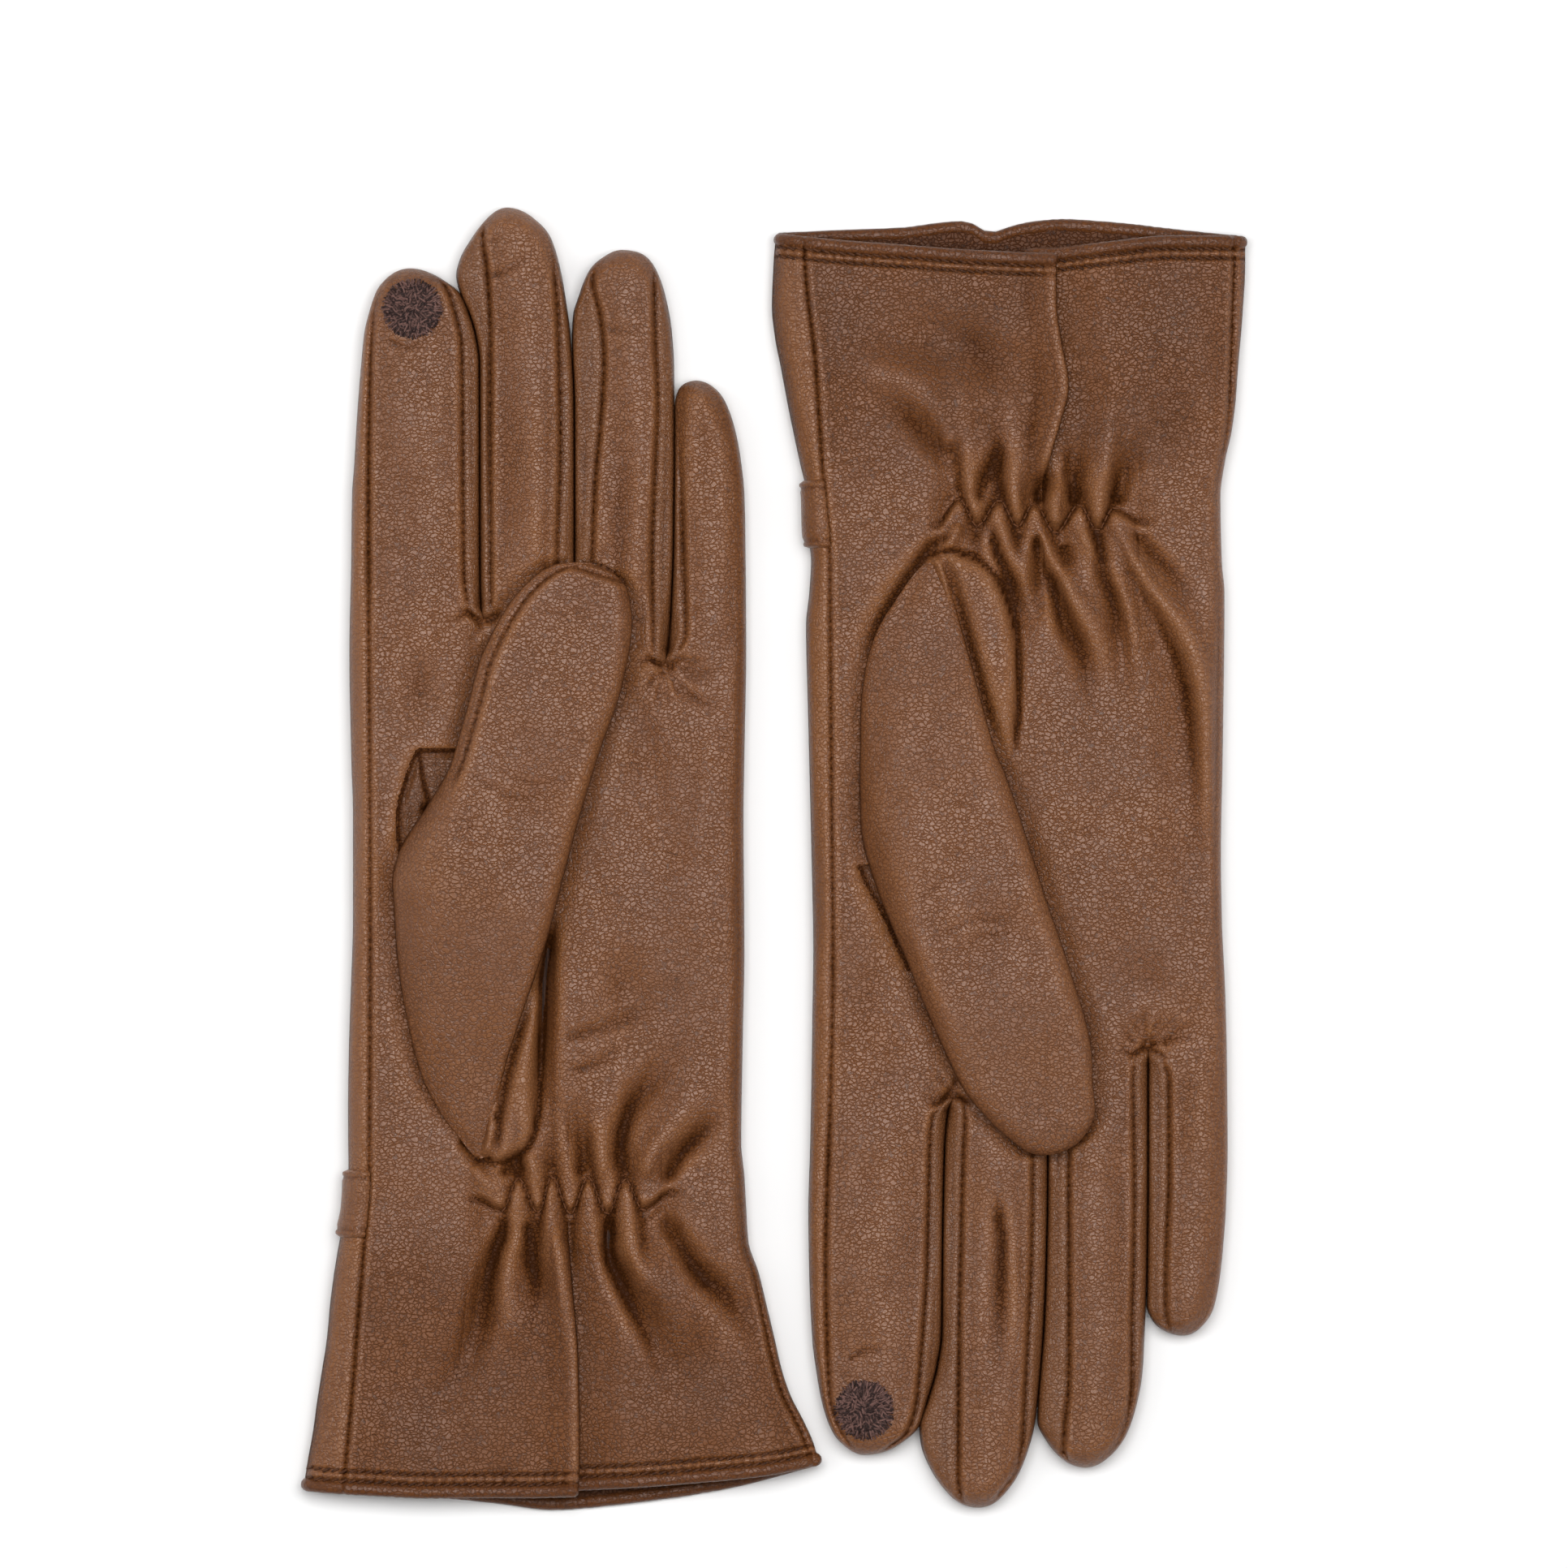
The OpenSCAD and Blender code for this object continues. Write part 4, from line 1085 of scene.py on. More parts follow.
def knit(name, dark, light):
    """The brushed knit lining: fine columns of stitches."""
    n = Nodes(name)
    rest = n.attribute("rest").outputs["Vector"]
    wave = n.add("ShaderNodeTexWave", wave_type="BANDS", bands_direction="X")
    n.feed(wave.inputs["Vector"], rest)
    wave.inputs["Scale"].default_value = 0.45
    wave.inputs["Distortion"].default_value = 1.5
    wave.inputs["Detail Scale"].default_value = 2.0
    fuzz = n.noise(rest, 2.4, 4, 0.7).outputs["Fac"]
    height = n.add_up((wave.outputs["Fac"], 0.6), (fuzz, 1))
    n.feed(n.shader.inputs["Normal"], n.bump(height, 0.8, 0.0004))
    n.feed(n.shader.inputs["Base Color"], n.mix(n.range(height, 0.3, 1.2), dark, light))
    n.shader.inputs["Roughness"].default_value = 0.95
    return n.material


def thread(name, dark, light, roughness=0.7):
    """Sewing thread, with a little change of colour from stitch to stitch."""
    n = Nodes(name)
    rest = n.attribute("rest").outputs["Vector"]
    tone = n.add_up((n.noise(rest, 1.7, 2).outputs["Fac"], 1), (n.attribute("tint").outputs["Fac"], 1))
    twist = n.noise(n.scaled(rest, (6.0, 6.0, 6.0)), 1.0, 2).outputs["Fac"]
    n.feed(n.shader.inputs["Base Color"], n.mix(n.range(tone, 0.3, 0.7), dark, light))
    n.feed(n.shader.inputs["Normal"], n.bump(twist, 0.4, 0.0001))
    n.shader.inputs["Roughness"].default_value = roughness
    n.shader.inputs["Specular IOR Level"].default_value = 0.25
    return n.material


LEATHER = leather("brown_leather", linear(54, 27, 9), linear(111, 66, 33), linear(129, 82, 45))
# A darker copy of the brown leather, as painted shade, for the pieces on the fingers' sides, in the forks and
# under the thumb.
SHADED_SIDE_LEATHER = leather("brown_side_leather_painted_shade", linear(50, 24, 9), linear(101, 60, 30), linear(116, 73, 41))
TRIM_LEATHER = leather(
    "brown_trim_leather", linear(46, 22, 8), linear(94, 54, 26), linear(110, 67, 36),
    roughness=0.36, grain=0.7, shine=0.3,
)
LINING = knit("brown_lining", linear(30, 17, 11), linear(70, 44, 31))
ELASTIC = knit("elastic_web", linear(150, 142, 128), linear(214, 207, 192))
SEWING = thread("brown_thread", linear(40, 19, 8), linear(98, 58, 31))
TOUCH = thread("touch_thread_dark", linear(38, 21, 18), linear(108, 78, 71), 0.6)


# ------------------------------------------------------------------------------------------ pieces of a glove
def build_hand(glove, sheets):
    """Palm and back up to the folds of the fingers. The back comes round to the seams at both sides."""
    palm, back, between = [], [], []
    for i in range(4):
        split = FOLD_V[i] - FOLD_HALF
        palm.append(sheets.part(TOP, i, HEM_V, split, FRONT))
        back.append(sheets.part(BACK, i, HEM_V, split, BACK_MID))
        for k, band, back_band in ((i - 1, LEFT_BAND, BACK_LEFT), (i, RIGHT_BAND, BACK_RIGHT)):
            if k not in (0, 1, 2):
                back.append(sheets.part(TOP, i, HEM_V, split, band))
                back.append(sheets.part(BACK, i, HEM_V, split, back_band))
                continue
            gap = glove.g["crotch"][k][1]
            palm.append(sheets.part(TOP, i, HEM_V, gap, band))
            back.append(sheets.part(BACK, i, HEM_V, gap, back_band))
            between.append(sheets.part(TOP, i, gap, split, band))
            between.append(sheets.part(BACK, i, gap, split, back_band))
    palm.append(underlap(sheets))
    for name, patches, material, slot in (
        ("palm_leather", palm, LEATHER, "leather"),
        ("back_leather", back, LEATHER, "leather"),
        ("crotch_fourchettes", between, SHADED_SIDE_LEATHER, "fourchette_leather"),
    ):
        glove.with_hand(glove.shell(name, patches, material, slot, [name]))


def underlap(sheets):
    """The leather of the little-finger side that runs on under the vent's flap."""
    rows = sheets.row(2, -5) + 1
    t = np.linspace(1, 0, 8)[None, :]
    u, v, z = (np.repeat(sheets.top[2][:rows, :1, k], t.size, 1) for k in range(3))
    width = 8 * smooth(0, 1, sheets.vent_open(sheets.v[2][:rows]))[:, None]
    points = np.stack([u - t * width, v, z - 0.5 * t * sheets.vent_open(v)], -1)
    # Painted shade: the leather is painted darker the further it runs under the flap.
    return grid_patch(points, sheets.top_painted_shade[2][:rows, :1] + 0.7 * t)


def build_fingers(glove, sheets):
    """Front, back and side strips of each finger from its fold to its tip."""
    for i, finger in enumerate(FINGERS):
        split, tip = FOLD_V[i] - FOLD_HALF, glove.g["tips"][i][0]
        front = [sheets.part(TOP, i, split, tip, FRONT)]
        back = [sheets.part(BACK, i, split, tip, BACK_MID)]
        sides = []
        for outer, band, back_band in ((i == 0, LEFT_BAND, BACK_LEFT), (i == 3, RIGHT_BAND, BACK_RIGHT)):
            target = back if outer else sides
            target.append(sheets.part(TOP, i, split, tip, band))
            target.append(sheets.part(BACK, i, split, tip, back_band))
        pieces = []
        for part, patches, material, slot in (
            ("front", front, LEATHER, "leather"),
            ("back", back, LEATHER, "leather"),
            ("fourchettes", sides, SHADED_SIDE_LEATHER, "fourchette_leather"),
        ):
            name = f"{finger}_{part}"
            pieces.append(glove.shell(name, patches, material, slot, [name]))
        glove.with_finger(i, *pieces)


def innermost(grid, top, reach=4):
    """A strip whose heights are the innermost ones of the points around each."""
    pick = np.minimum if top else np.maximum
    z = grid[..., 2]
    for _ in range(reach):
        padded = np.pad(z, ((1, 1), (0, 0)), mode="edge")
        z = pick(pick(padded[:-2], padded[2:]), z)
    for _ in range(reach):
        padded = np.pad(z, ((0, 0), (1, 1)), mode="edge")
        z = pick(pick(padded[:, :-2], padded[:, 2:]), z)
    out = grid.copy()
    out[..., 2] = z
    return out


def lining_grid(sheets, i, top, inset, step=3):
    """A coarse copy of a strip, moved inwards on every side, and the numbers of its rows."""
    grid = innermost((sheets.top if top else sheets.back)[i], top)
    n_rows, n_cols = grid.shape[:2]
    split = sheets.row(i, FOLD_V[i] - FOLD_HALF)
    rows = np.unique([*range(0, n_rows, step), split, n_rows - 1])
    cols = np.unique([*range(0, n_cols, step), n_cols - 1])
    points = grid[np.ix_(rows, cols)].copy()
    v = sheets.v[i][rows]
    tip = sheets.g["tips"][i][0]
    for which, left_side, way in (("left", True, 1), ("right", False, -1)):
        edge = sheets.line(i, v, which)[:, None]
        gap = sheets.open_gap(i, v, left_side)[:, None]
        points[..., 0] += way * inset * gap * (1 - smooth(0, 8, way * (points[..., 0] - edge)))
    points[..., 1] -= inset * smooth(tip - 9, tip, points[..., 1])
    d = points[..., 2] - Z_MID
    points[..., 2] = Z_MID + np.sign(d) * np.maximum(np.abs(d) - inset, 0)
    return points, rows


def build_lining(glove, sheets):
    """The lining of the hand, from 16 mm above the hem, and of each finger."""
    hand, digits = [], []
    for i in range(4):
        digits.append([])
        for top in (True, False):
            points, rows = lining_grid(sheets, i, top, LINING_INSET)
            stops = [sheets.row(i, v) for v in (HEM_V + 16, FOLD_V[i] - FOLD_HALF)]
            start, split = np.searchsorted(rows, stops)
            hand.append(grid_patch(points[start:split + 1], flip=not top))
            digits[i].append(grid_patch(points[split:], flip=not top))
    glove.with_hand(glove.shell("hand_lining", hand, LINING, "lining", ["hand_lining"], LINING_T))
    for i, finger in enumerate(FINGERS):
        name = f"{finger}_lining"
        glove.with_finger(i, glove.shell(name, digits[i], LINING, "lining", [name], LINING_T))


def hem_path(sheets):
    """The hem's line from the vent round the index side, across the back and round to the vent again."""
    top = [grid[0, ::-1] for grid in sheets.top]
    back = [grid[0] for grid in sheets.back]
    lap = top[2][-1] + np.array([[-2.5, 0, -0.2], [-5, 0, -0.4], [-7.5, 0, -0.6]])
    path = np.concatenate([top[1], top[0], *back, top[3], top[2], lap])
    keep = [0]
    for k in range(1, len(path)):
        if np.linalg.norm(path[k] - path[keep[-1]]) > 0.35:
            keep.append(k)
    return path[keep]


def sweep(path, ring, scale):
    """Rings of (outwards, along v) offsets set along a path, each with its scale, closed at both ends."""
    way = np.gradient(path, axis=0)
    way[:, 1] = 0
    way /= np.linalg.norm(way, axis=1, keepdims=True)
    out = -np.cross(way, [0, 1, 0])
    for _ in range(3):
        out[1:-1] = (out[:-2] + 2 * out[1:-1] + out[2:]) / 4
    out /= np.linalg.norm(out, axis=1, keepdims=True)
    offsets = ring[None, :, 0, None] * out[:, None] + ring[None, :, 1, None] * np.array([0, 1.0, 0])
    points = path[:, None] + scale[:, None, None] * offsets
    rows, cols = points.shape[:2]
    last = (rows - 1) * cols
    ends = [list(range(cols)), list(range(last, last + cols))[::-1]]
    return points.reshape(-1, 3), ring_quads(rows, cols) + ends


def build_hem(glove, sheets):
    """The cuff's rolled edge, and the leather facing that runs 24 mm up inside it."""
    path = hem_path(sheets)
    steps = np.concatenate([[0], np.cumsum(np.linalg.norm(np.diff(path, axis=0), axis=1))])
    turn = np.linspace(0, 2 * math.pi, 15)[:-1]
    ring = np.column_stack([1.35 * np.cos(turn) - 0.8, 1.45 * np.sin(turn) + 0.85])
    end = np.minimum(steps, steps[-1] - steps)
    scale = np.sqrt(np.clip(end / 0.9, 0.02, 1)) * (1 + 0.06 * np.cos(2 * math.pi * steps / STITCH))
    points, faces = sweep(path, ring, scale)
    points[:, 2] = np.maximum(points[:, 2], FLOOR_GAP)
    tint = np.zeros(len(points))
    bead = glove.make("hem_bead", points, faces, tint, TRIM_LEATHER, "trim_leather", ["cuff_binding"])
    facing = []
    for i in range(4):
        for top in (True, False):
            grid, _ = lining_grid(sheets, i, top, 1.0, 2)
            last = int(np.argmin(np.abs(grid[:, 0, 1] - (HEM_V + 24))))
            facing.append(grid_patch(grid[1:last + 1], flip=not top))
    inside = glove.shell("hem_facing", facing, TRIM_LEATHER, "trim_leather", thickness=0.5)
    glove.with_hand(bead, inside)


def strap_grid(sheets):
    """The glove's surface under the strap, from the palm side's seam to the strap's end on the back."""
    pick = slice(sheets.row(0, STRAP_V[0]), sheets.row(0, STRAP_V[1]) + 1)
    front = sheets.top[0][pick, :BAND_CELLS][:, ::-1]
    grid = np.concatenate([front, *[sheets.back[i][pick, 1:] for i in range(3)]], 1)
    last = int(np.argmin(np.abs(grid[0, BAND_CELLS:, 0] - STRAP_END_U))) + BAND_CELLS
    return grid[:, :last + 1]


def build_strap(glove, sheets):
    """A narrow strap with turned, stitched edges, from the side seam round the index side onto the back."""
    grid = strap_grid(sheets)
    cols = grid.shape[1]
    d_col, d_row = np.gradient(grid, axis=1), np.gradient(grid, axis=0)
    normal = np.cross(d_row, d_col)
    normal /= np.maximum(np.linalg.norm(normal, axis=2, keepdims=True), 1e-9)
    v = grid[:, :1, 1]
    edge = np.minimum(v - v.min(), v.max() - v)
    end = np.minimum(np.arange(cols), cols - 1 - np.arange(cols))[None, :] * 0.5
    seam = edge - 1.7
    height = 0.15 + 1.25 * rounded(edge, 1.0) * rounded(end + 0.3, 1.0)
    height = height - 0.4 * np.exp(-((seam / 0.35) ** 2)) * (0.75 + 0.25 * np.cos(2 * math.pi * end * 2))
    points = grid + normal * height[..., None]
    points[..., 2] = np.maximum(points[..., 2], FLOOR_GAP)
    tint = np.repeat(0.8 * np.exp(-((seam / 0.3) ** 2)) - 0.3, cols, 1)
    patch = grid_patch(points, tint, flip=True)
    glove.with_hand(glove.shell("wrist_strap", [patch], LEATHER, "trim_leather", ["wrist_strap"], 1.0))


def build_elastic(glove, sheets):
    """The elastic tape, 6 mm wide, inside the palm leather under the zigzag line."""
    (u0, _), (u1, _) = glove.g["gather_ends"]
    u, v = np.meshgrid(np.linspace(u0 + 1, u1 - 1, 90), np.linspace(-3, 3, 8))
    z = sheets.surface_z(u, v)
    z = np.minimum(z, z.mean(0, keepdims=True)) - 1.0
    patch = grid_patch(np.stack([u, v, z], -1))
    glove.with_hand(glove.shell("wrist_elastic", [patch], ELASTIC, "elastic", ["wrist_elastic"], 0.5))


def capsules(starts, ends, radius, sides=6):
    """Short rods with round ends from starts to ends, as one set of points and faces."""
    starts, ends = np.asarray(starts, float), np.asarray(ends, float)
    radius = np.broadcast_to(radius, len(starts))[:, None]
    way = ends - starts
    way /= np.maximum(np.linalg.norm(way, axis=1, keepdims=True), 1e-9)
    side = np.cross(way, [0, 0, 1.0])
    side /= np.maximum(np.linalg.norm(side, axis=1, keepdims=True), 1e-9)
    up = np.cross(side, way)
    # Each ring: its place from start to end, its radius, and how far it is moved on, in radii.
    stations = [(0, 0.35, -0.8), (0, 0.85, -0.4), (0.12, 1, 0), (0.88, 1, 0), (1, 0.85, 0.4), (1, 0.35, 0.8)]
    turn = np.linspace(0, 2 * math.pi, sides, endpoint=False)[None, :, None]
    circle = np.cos(turn) * side[:, None] + np.sin(turn) * up[:, None]
    rings = []
    for t, r, extra in stations:
        centre = starts + t * (ends - starts) + extra * radius * way
        rings.append(centre[:, None] + r * radius[:, None] * circle)
    points = np.stack(rings, 1)
    count, n_rings = points.shape[:2]
    faces = []
    for k in range(count):
        base = k * n_rings * sides
        last = base + (n_rings - 1) * sides
        faces += [quad[::-1] for quad in ring_quads(n_rings, sides, base)]
        faces.append([base + s for s in range(sides)][::-1])
        faces.append([last + s for s in range(sides)])
    return points.reshape(-1, 3), faces


def hem_stitches(g, sheets):
    """Starts and ends of the stitches of the two rows along the hem, on the palm side."""
    pairs = []
    for strips, table in (((0, 1), g["hem_index"]), ((2, 3), g["hem_little"])):
        low = sheets.top[strips[0]][0, 0, 0] + 0.8
        high = sheets.top[strips[1]][0, -1, 0] - 3.4
        for depth in HEM_ROWS:
            for u in np.arange(low, high, 1.9):
                shift = float(curve(np.array([u]), table)[0]) * float(1 - smooth(HEM_V, -34, HEM_V + depth))
                v = HEM_V + depth + shift + 0.06 * rng.standard_normal()
                pairs.append([(u, v - 0.3), (u + 1.3, v + 0.3)])
    return pairs


def zigzag_stitches(g):
    """Starts and ends of the stitches over the elastic, with a few crossed ones where the line ends."""
    first, last = g["gather_ends"]
    u = np.linspace(first[0], last[0], 900)
    line = np.column_stack([u, curve(u, [first, *g["gather_low"], *g["gather_high"], last])])
    steps = np.concatenate([[0], np.cumsum(np.hypot(*np.diff(line, axis=0).T))])
    pitch, length = 1.75, 1.15
    pairs = []
    for s in np.arange(0, steps[-1] - 1.2, pitch):
        pairs.append([[np.interp(at, steps, line[:, k]) for k in (0, 1)] for at in (s, s + length)])
    for cu, cv in (first, last):
        for angle in (20, 75, 130, 165):
            du, dv = 0.9 * math.cos(math.radians(angle)), 0.9 * math.sin(math.radians(angle))
            pairs.append([(cu - du, cv - dv), (cu + du, cv + dv)])
    return pairs


def build_stitches(glove, sheets):
    """The threads that show: along the hem, and the thinner, lighter zigzag at the wrist."""
    hem, zigzag = hem_stitches(glove.g, sheets), zigzag_stitches(glove.g)
    starts, ends = np.array(hem + zigzag).transpose(1, 0, 2)
    starts, ends = (np.column_stack([p, sheets.surface_z(p[:, 0], p[:, 1]) + 0.12]) for p in (starts, ends))
    radius = np.repeat([0.3, 0.2], [len(hem), len(zigzag)])
    points, faces = capsules(starts, ends, radius)
    tone = np.repeat(np.repeat([0.0, 0.45], [len(hem), len(zigzag)]), len(points) // len(starts))
    glove.with_hand(glove.make("stitches", points, faces, tone, SEWING, "trim_leather"))


def build_patch(glove, sheets):
    """The embroidered touch patch: a low disc of short dark threads with a ragged edge."""
    cu, cv = glove.g["patch"]
    radius, fringe = 6.1, 64
    starts, ends = [], []
    golden = math.pi * (3 - math.sqrt(5))
    count = 300
    for k in range(count):
        r = radius * math.sqrt((k + 0.5) / count)
        a = k * golden
        u, v = cu + r * math.cos(a), cv + r * math.sin(a)
        lean = a + rng.normal(0, 0.5) if rng.random() < 0.6 else rng.uniform(0, 2 * math.pi)
        half = rng.uniform(0.45, 0.8)
        starts.append((u - half * math.cos(lean), v - half * math.sin(lean)))
        ends.append((u + half * math.cos(lean), v + half * math.sin(lean)))
    for k in range(fringe):
        a = 2 * math.pi * (k + 0.4 * rng.random()) / fringe
        r0, r1 = radius - 1.1, radius + rng.uniform(0.1, 0.75)
        starts.append((cu + r0 * math.cos(a), cv + r0 * math.sin(a)))
        ends.append((cu + r1 * math.cos(a), cv + r1 * math.sin(a)))
    starts, ends = np.array(starts), np.array(ends)
    lift = rng.uniform(0.0, 0.35, len(starts))
    za = sheets.surface_z(starts[:, 0], starts[:, 1]) + lift
    zb = sheets.surface_z(ends[:, 0], ends[:, 1]) + rng.uniform(0.0, 0.35, len(starts))
    points, faces = capsules(np.column_stack([starts, za]), np.column_stack([ends, zb]), 0.24, 5)
    # Each thread's tone follows its random lift: raised threads are painted lighter and low ones darker,
    # partly random tone and partly painted light and shade.
    tint = np.repeat(1.6 * lift - 0.35, len(points) // len(starts))
    # The ground under the threads, turned down at its edge.
    r = np.linspace(0, radius, 14)[:, None]
    a = np.linspace(0, 2 * math.pi, 48, endpoint=False)
    u, v = cu + r * np.cos(a), cv + r * np.sin(a)
    z = sheets.surface_z(u, v) + 0.16 - 0.5 * smooth(radius - 1, radius, r)
    faces += ring_quads(*u.shape, len(points))
    points = np.concatenate([points, np.stack([u, v, z], -1).reshape(-1, 3)])
    tint = np.concatenate([tint, np.full(u.size, -0.5)])
    patch = glove.make("touch_patch", points, faces, tint, TOUCH, "touch_thread", ["touch_patch"])
    glove.with_finger(0, patch)


def thumb_grids(glove, sheets):
    """The thumb and its base as an upper and a lower sheet, and the row where the thumb's own pieces begin.
    """
    g = glove.g
    q0, q1 = g["thumb_left"][0][0], g["thumb_left"][-1][0]
    middle, half = (q0 + q1) / 2, (q1 - q0) / 2
    turn = np.linspace(-math.pi / 2, math.pi / 2, 231)
    q = middle + half * np.sin(turn)
    k = int(np.argmin(np.abs(q + FOLD_HALF)))
    q[k] = -FOLD_HALF
    angle = np.arcsin(np.clip((q - middle) / half, -1, 1))
    edges = []
    for table in (g["thumb_left"], g["thumb_right"]):
        edges.append(curve(angle, [(math.asin((a - middle) / half), b) for a, b in table]))
    left, right = edges
    cols = spaced(44, 0.7)
    p = left[:, None] + (right - left)[:, None] * cols
    qq = np.repeat(q[:, None], len(cols), 1)
    s, c = math.sin(THUMB_LEAN), math.cos(THUMB_LEAN)
    u = THUMB_FOLD[0] + p * c + qq * s
    v = THUMB_FOLD[1] - p * s + qq * c
    palm = sheets.surface_z(u, v)
    free = smooth(-2, 34, qq)
    # The thumb's edges lie on the palm near its root, and rise from it towards the tip.
    edge_left = 9.5 + 3.9 * smooth(2, 34, qq)
    edge_right = 10.2 + 3.4 * smooth(-46, -12, qq)
    share = smooth(0, 1, cols)[None, :]
    edge = edge_left * (1 - share) + edge_right * share
    crown = 10.3 + 7.9 * smooth(-60, 6, qq) - 1.6 * smooth(40, 79, qq)
    dl, dr = p - left[:, None], right[:, None] - p
    wl = 5.4 + 8.0 * (1 - smooth(-8, 30, qq))
    rise = rounded(dl, wl, 2.0) * rounded(dr, 4.2) * rounded(q1 - qq, 6.5) * rounded(qq - q0, 9, 1.6)
    z = edge + np.maximum(crown - edge, 0) * rise
    body = smooth(0.4, 4, np.minimum(dl, dr)) * smooth(0, 4, q1 - qq) * smooth(0, 5, qq - q0)
    z += body * (1.1 * micro_relief(u + 60, v - 45, g["seed"]))
    creases = [
        (-0.6, 4, 4, [(2, 16), (6, 30), (6, 44)]),
        (-0.2, 0.4, 0.4, [(-12, 26), (0, 24), (12, 30)]),
        (-0.16, 0.35, 0.35, [(13, 33), (3, 28), (-9, 31)]),
        (-0.14, 0.35, 0.35, [(-11, 16), (-2, 14), (8, 17)]),
    ]
    for fold in creases:
        z += body * fold_relief(p, qq, fold)
    if g["thumb_seam"]:
        on = smooth(20, 27, qq)
        off = np.minimum(dl, q1 + 0.6 - qq) - g["thumb_seam"]
        z += on * (groove(off, 0.8, 0.25, qq) - 0.8 * (1 - smooth(-0.6, 0.5, off))) * smooth(0.2, 1.5, dl)
    sag = edge - np.minimum(palm + 0.25, edge)
    lower = edge - sag * free * rounded(dl, 5) * rounded(dr, 5) * rounded(q1 - qq, 6)
    lower -= 0.8 * (1 - free) * rounded(dl, 3) * rounded(dr, 3)
    lower = np.minimum(lower, z)
    return np.stack([u, v, z], -1), np.stack([u, v, lower], -1), k


def build_thumb(glove, sheets):
    """The thumb's sewn-in base, its two sheets from the fold on, and a smaller lining inside them."""
    top, bottom, k = thumb_grids(glove, sheets)
    # Painted shade in the thumb's grooves and painted light on its ridges, from their depth.
    tint = sheets.hollows(top)
    base = [grid_patch(top[:k + 1], tint[:k + 1]), grid_patch(bottom[:k + 1], flip=True)]
    front = [grid_patch(top[k:], tint[k:])]
    back = [grid_patch(bottom[k:], flip=True)]
    glove.with_hand(glove.shell("thumb_base", base, LEATHER, "leather", ["thumb_base"], 0.5))
    glove.with_thumb(
        glove.shell("thumb_front", front, LEATHER, "leather", ["thumb_front"], 0.5),
        glove.shell("thumb_back", back, SHADED_SIDE_LEATHER, "fourchette_leather", ["thumb_back"], 0.5),
    )
    middle = (top + bottom)[k::3, ::3] / 2
    centre = ((top + bottom) / 2).mean(1, keepdims=True)[k::3]
    inner = []
    for grid, flip in ((top, False), (bottom, True)):
        shrunk = grid[k::3, ::3].copy()
        shrunk[..., 2] = middle[..., 2] + 0.62 * (shrunk[..., 2] - middle[..., 2])
        shrunk[..., :2] = centre[..., :2] + 0.9 * (shrunk[..., :2] - centre[..., :2])
        inner.append(grid_patch(shrunk, flip=flip))
    glove.with_thumb(glove.shell("thumb_lining", inner, LINING, "lining", ["thumb_lining"], 0.3))


def build_gusset(glove, sheets):
    """The gusset in the fork of thumb and index finger: a slack panel set into the palm's opening."""
    low, high = glove.g["gusset"]
    v = np.linspace(low[0][0], low[-1][0], 90)
    left, right = curve(v, low), curve(v, high) + 1.0
    t = np.linspace(0, 1, 40)
    u = left[:, None] + (right - left)[:, None] * t
    vv = np.repeat(v[:, None], len(t), 1)
    palm = sheets.surface_z(u, vv)
    edge = sheets.gusset_edge(u, vv)
    fold_line = glove.g["gusset_fold"]
    crease = np.exp(-((along(u, vv, fold_line)[0] / 0.45) ** 2))
    pit = np.exp(-((u - fold_line[-1][0] + 0.6) ** 2 + 0.6 * (vv - fold_line[-1][1]) ** 2) / 0.9)
    bulge = 1.25 * smooth(0.7, 2.6, edge) * smooth(0, 5, vv - v[0])
    slack = 0.35 * noise(u / 1.9, vv / 3.2, 1) * smooth(0.7, 2, edge)
    points = np.stack([u, vv, palm + 0.12 + bulge + slack - bulge * (0.7 * crease + 0.8 * pit)], -1)
    # Painted shade: darker along the crease, in the pit at its end and at the edge where the gusset meets the
    # palm's opening.
    tint = np.clip(1.0 * crease + 1.2 * pit + 0.8 * (1 - smooth(0.5, 1.6, edge)), 0, 1.2)
    patch = grid_patch(points, tint)
    glove.with_hand(
        glove.shell("thumb_gusset", [patch], SHADED_SIDE_LEATHER, "fourchette_leather", ["thumb_gusset"], 0.4),
    )


for side, table in (("left", LEFT), ("right", RIGHT)):
    glove = Glove(side, table)
    sheets = Sheets(table)
    for build in (
        build_hand, build_fingers, build_lining, build_hem, build_strap,
        build_elastic, build_stitches, build_patch, build_thumb, build_gusset,
    ):
        build(glove, sheets)


# ------------------------------------------------------------------------------------------ stage
def area_light(name, place, size, power):
    """A soft box that faces the middle of the floor."""
    data = bpy.data.lights.new(name, "AREA")
    data.shape = "RECTANGLE"
    data.size, data.size_y = size
    data.energy = power
    obj = bpy.data.objects.new(name, data)
    bpy.context.scene.collection.objects.link(obj)
    obj.location = place
    obj.rotation_mode = "QUATERNION"
    obj.rotation_quaternion = (-Vector(place)).to_track_quat("-Z", "Y")


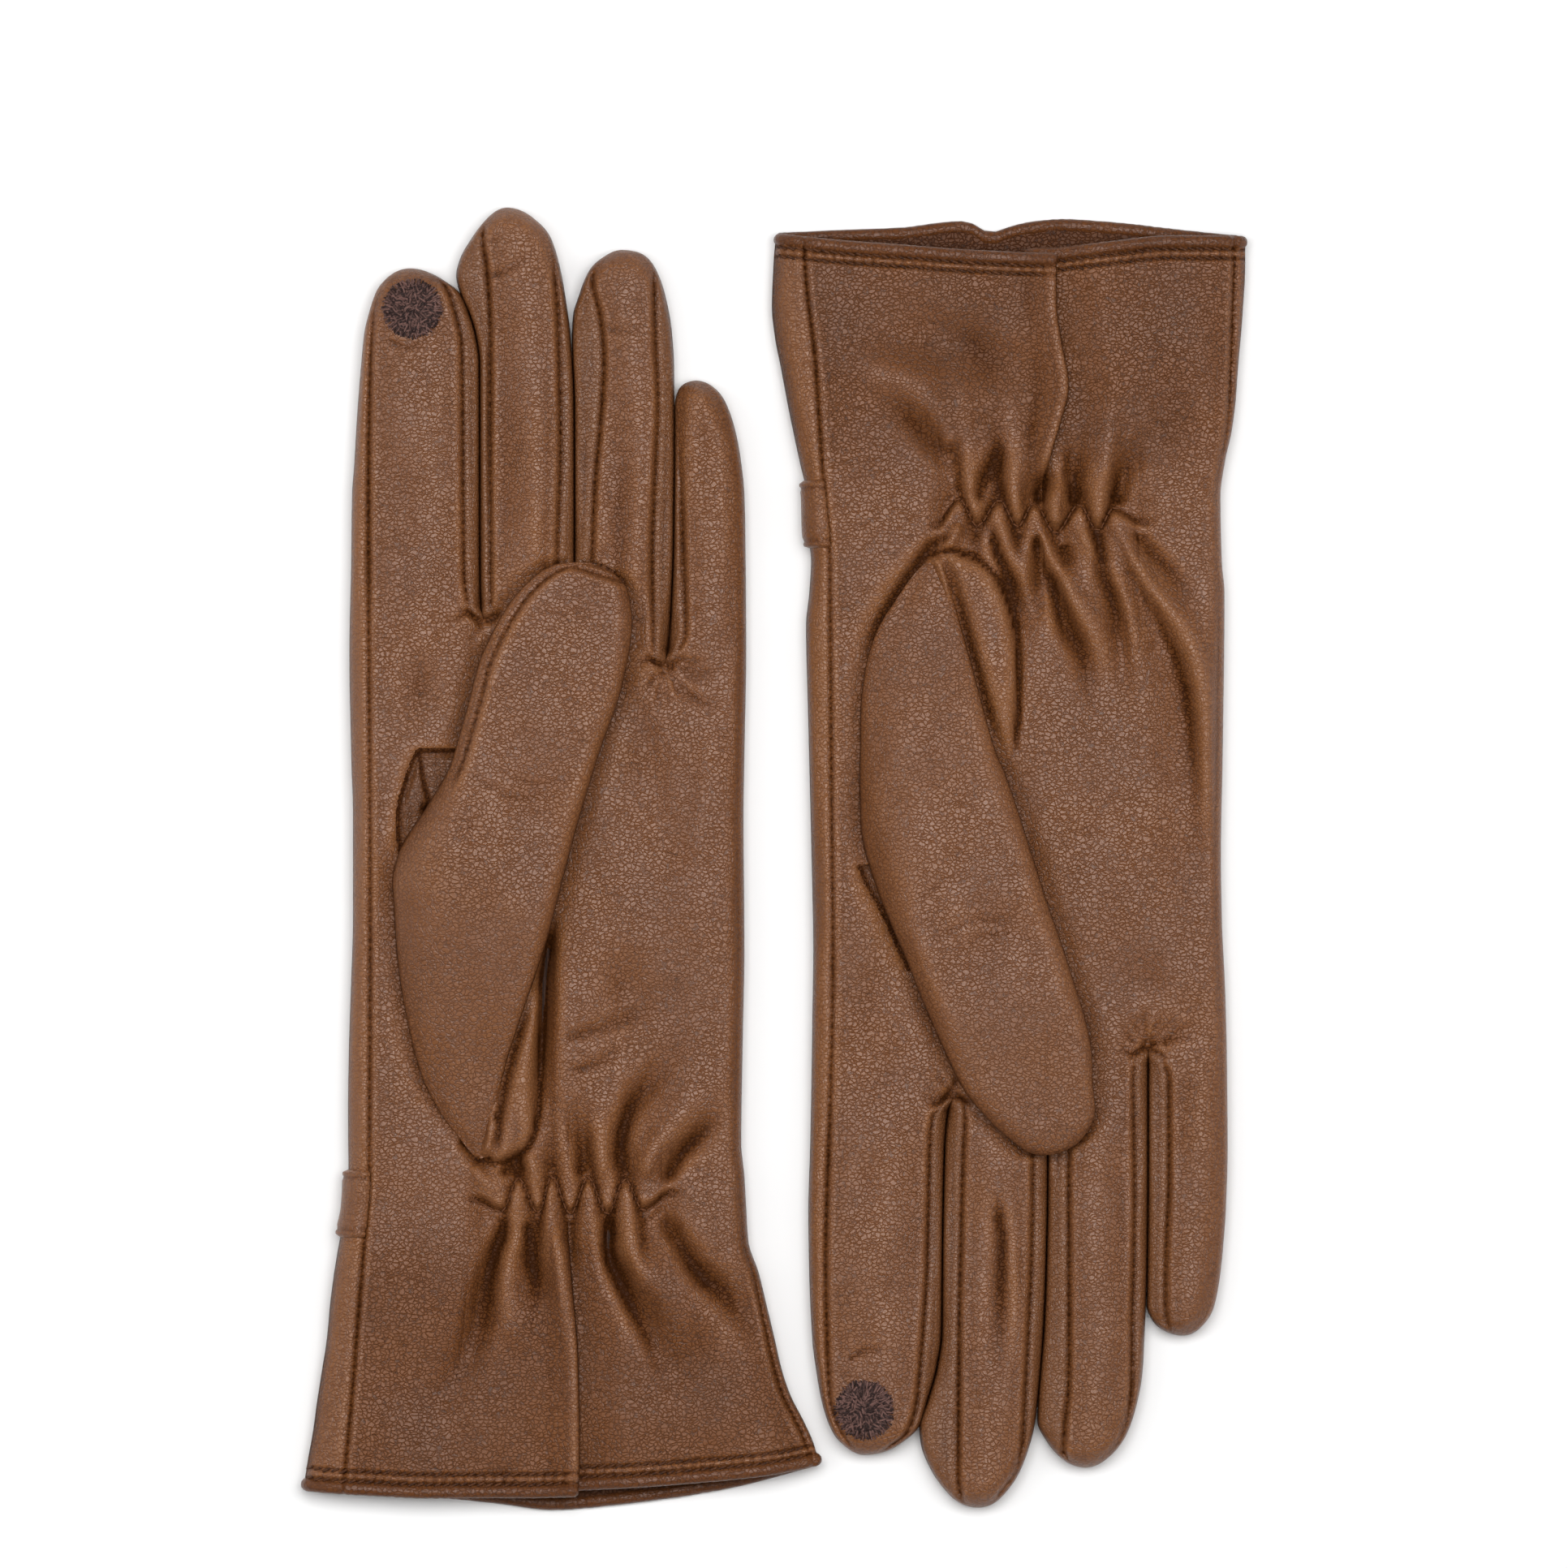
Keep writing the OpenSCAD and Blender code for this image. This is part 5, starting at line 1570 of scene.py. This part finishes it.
# A white floor whose far part glows, so that it stays white up to the horizon.
FLOOR_HALF = 3
floor_corners = [(FLOOR_HALF * x, FLOOR_HALF * y, 0) for x, y in ((-1, -1), (1, -1), (1, 1), (-1, 1))]
floor_mesh = bpy.data.meshes.new("floor")
floor_mesh.from_pydata(floor_corners, [], [(0, 1, 2, 3)])
floor = bpy.data.objects.new("floor", floor_mesh)
bpy.context.scene.collection.objects.link(floor)
paper = Nodes("paper")
paper.shader.inputs["Base Color"].default_value = (0.93, 0.93, 0.93, 1)
paper.shader.inputs["Roughness"].default_value = 0.9
paper.shader.inputs["Specular IOR Level"].default_value = 0.0
place = paper.add("ShaderNodeNewGeometry").outputs["Position"]
reach = paper.add("ShaderNodeVectorMath", operation="LENGTH")
paper.link(place, reach.inputs[0])
glow = paper.range(reach.outputs["Value"], 0.7, 2.2, 0.0, 0.85)
paper.shader.inputs["Emission Color"].default_value = (1, 1, 1, 1)
paper.link(glow, paper.shader.inputs["Emission Strength"])
floor_mesh.materials.append(paper.material)

# The surroundings are bright near the horizon, which hides it, and dim above.
world = bpy.data.worlds.new("studio")
world.use_nodes = True
background = world.node_tree.nodes["Background"]
background.inputs["Color"].default_value = (1, 1, 1, 1)
sky = world.node_tree.nodes.new("ShaderNodeTexCoord")
split = world.node_tree.nodes.new("ShaderNodeSeparateXYZ")
fade = world.node_tree.nodes.new("ShaderNodeMapRange")
world.node_tree.links.new(sky.outputs["Generated"], split.inputs[0])
world.node_tree.links.new(split.outputs["Z"], fade.inputs["Value"])
for name, number in (("From Min", 0.04), ("From Max", 0.2), ("To Min", 0.95), ("To Max", 0.13)):
    fade.inputs[name].default_value = number
world.node_tree.links.new(fade.outputs[0], background.inputs["Strength"])
bpy.context.scene.world = world

area_light("overhead_box", (0.05, 0.2, 1.5), size=(1.0, 0.8), power=20.8)
area_light("left_box", (-0.9, 0.1, 1.0), size=(0.5, 1.0), power=4)
area_light("right_box", (0.9, 0.1, 1.0), size=(0.5, 1.0), power=3)

camera_data = bpy.data.cameras.new("camera")
camera_data.lens = 310
camera_data.sensor_width = 36
camera_data.clip_start, camera_data.clip_end = 0.1, 20
camera = bpy.data.objects.new("camera", camera_data)
bpy.context.scene.collection.objects.link(camera)
view_width = 0.3478  # what the picture covers at the height below
view_x, view_y, view_height = 0.00025, 0.0166, 0.008
distance = view_width * camera_data.lens / camera_data.sensor_width
camera.location = (view_x, view_y, view_height + distance)
camera.rotation_euler = (0, 0, 0)
bpy.context.scene.camera = camera
bpy.context.scene.view_settings.view_transform = "Standard"
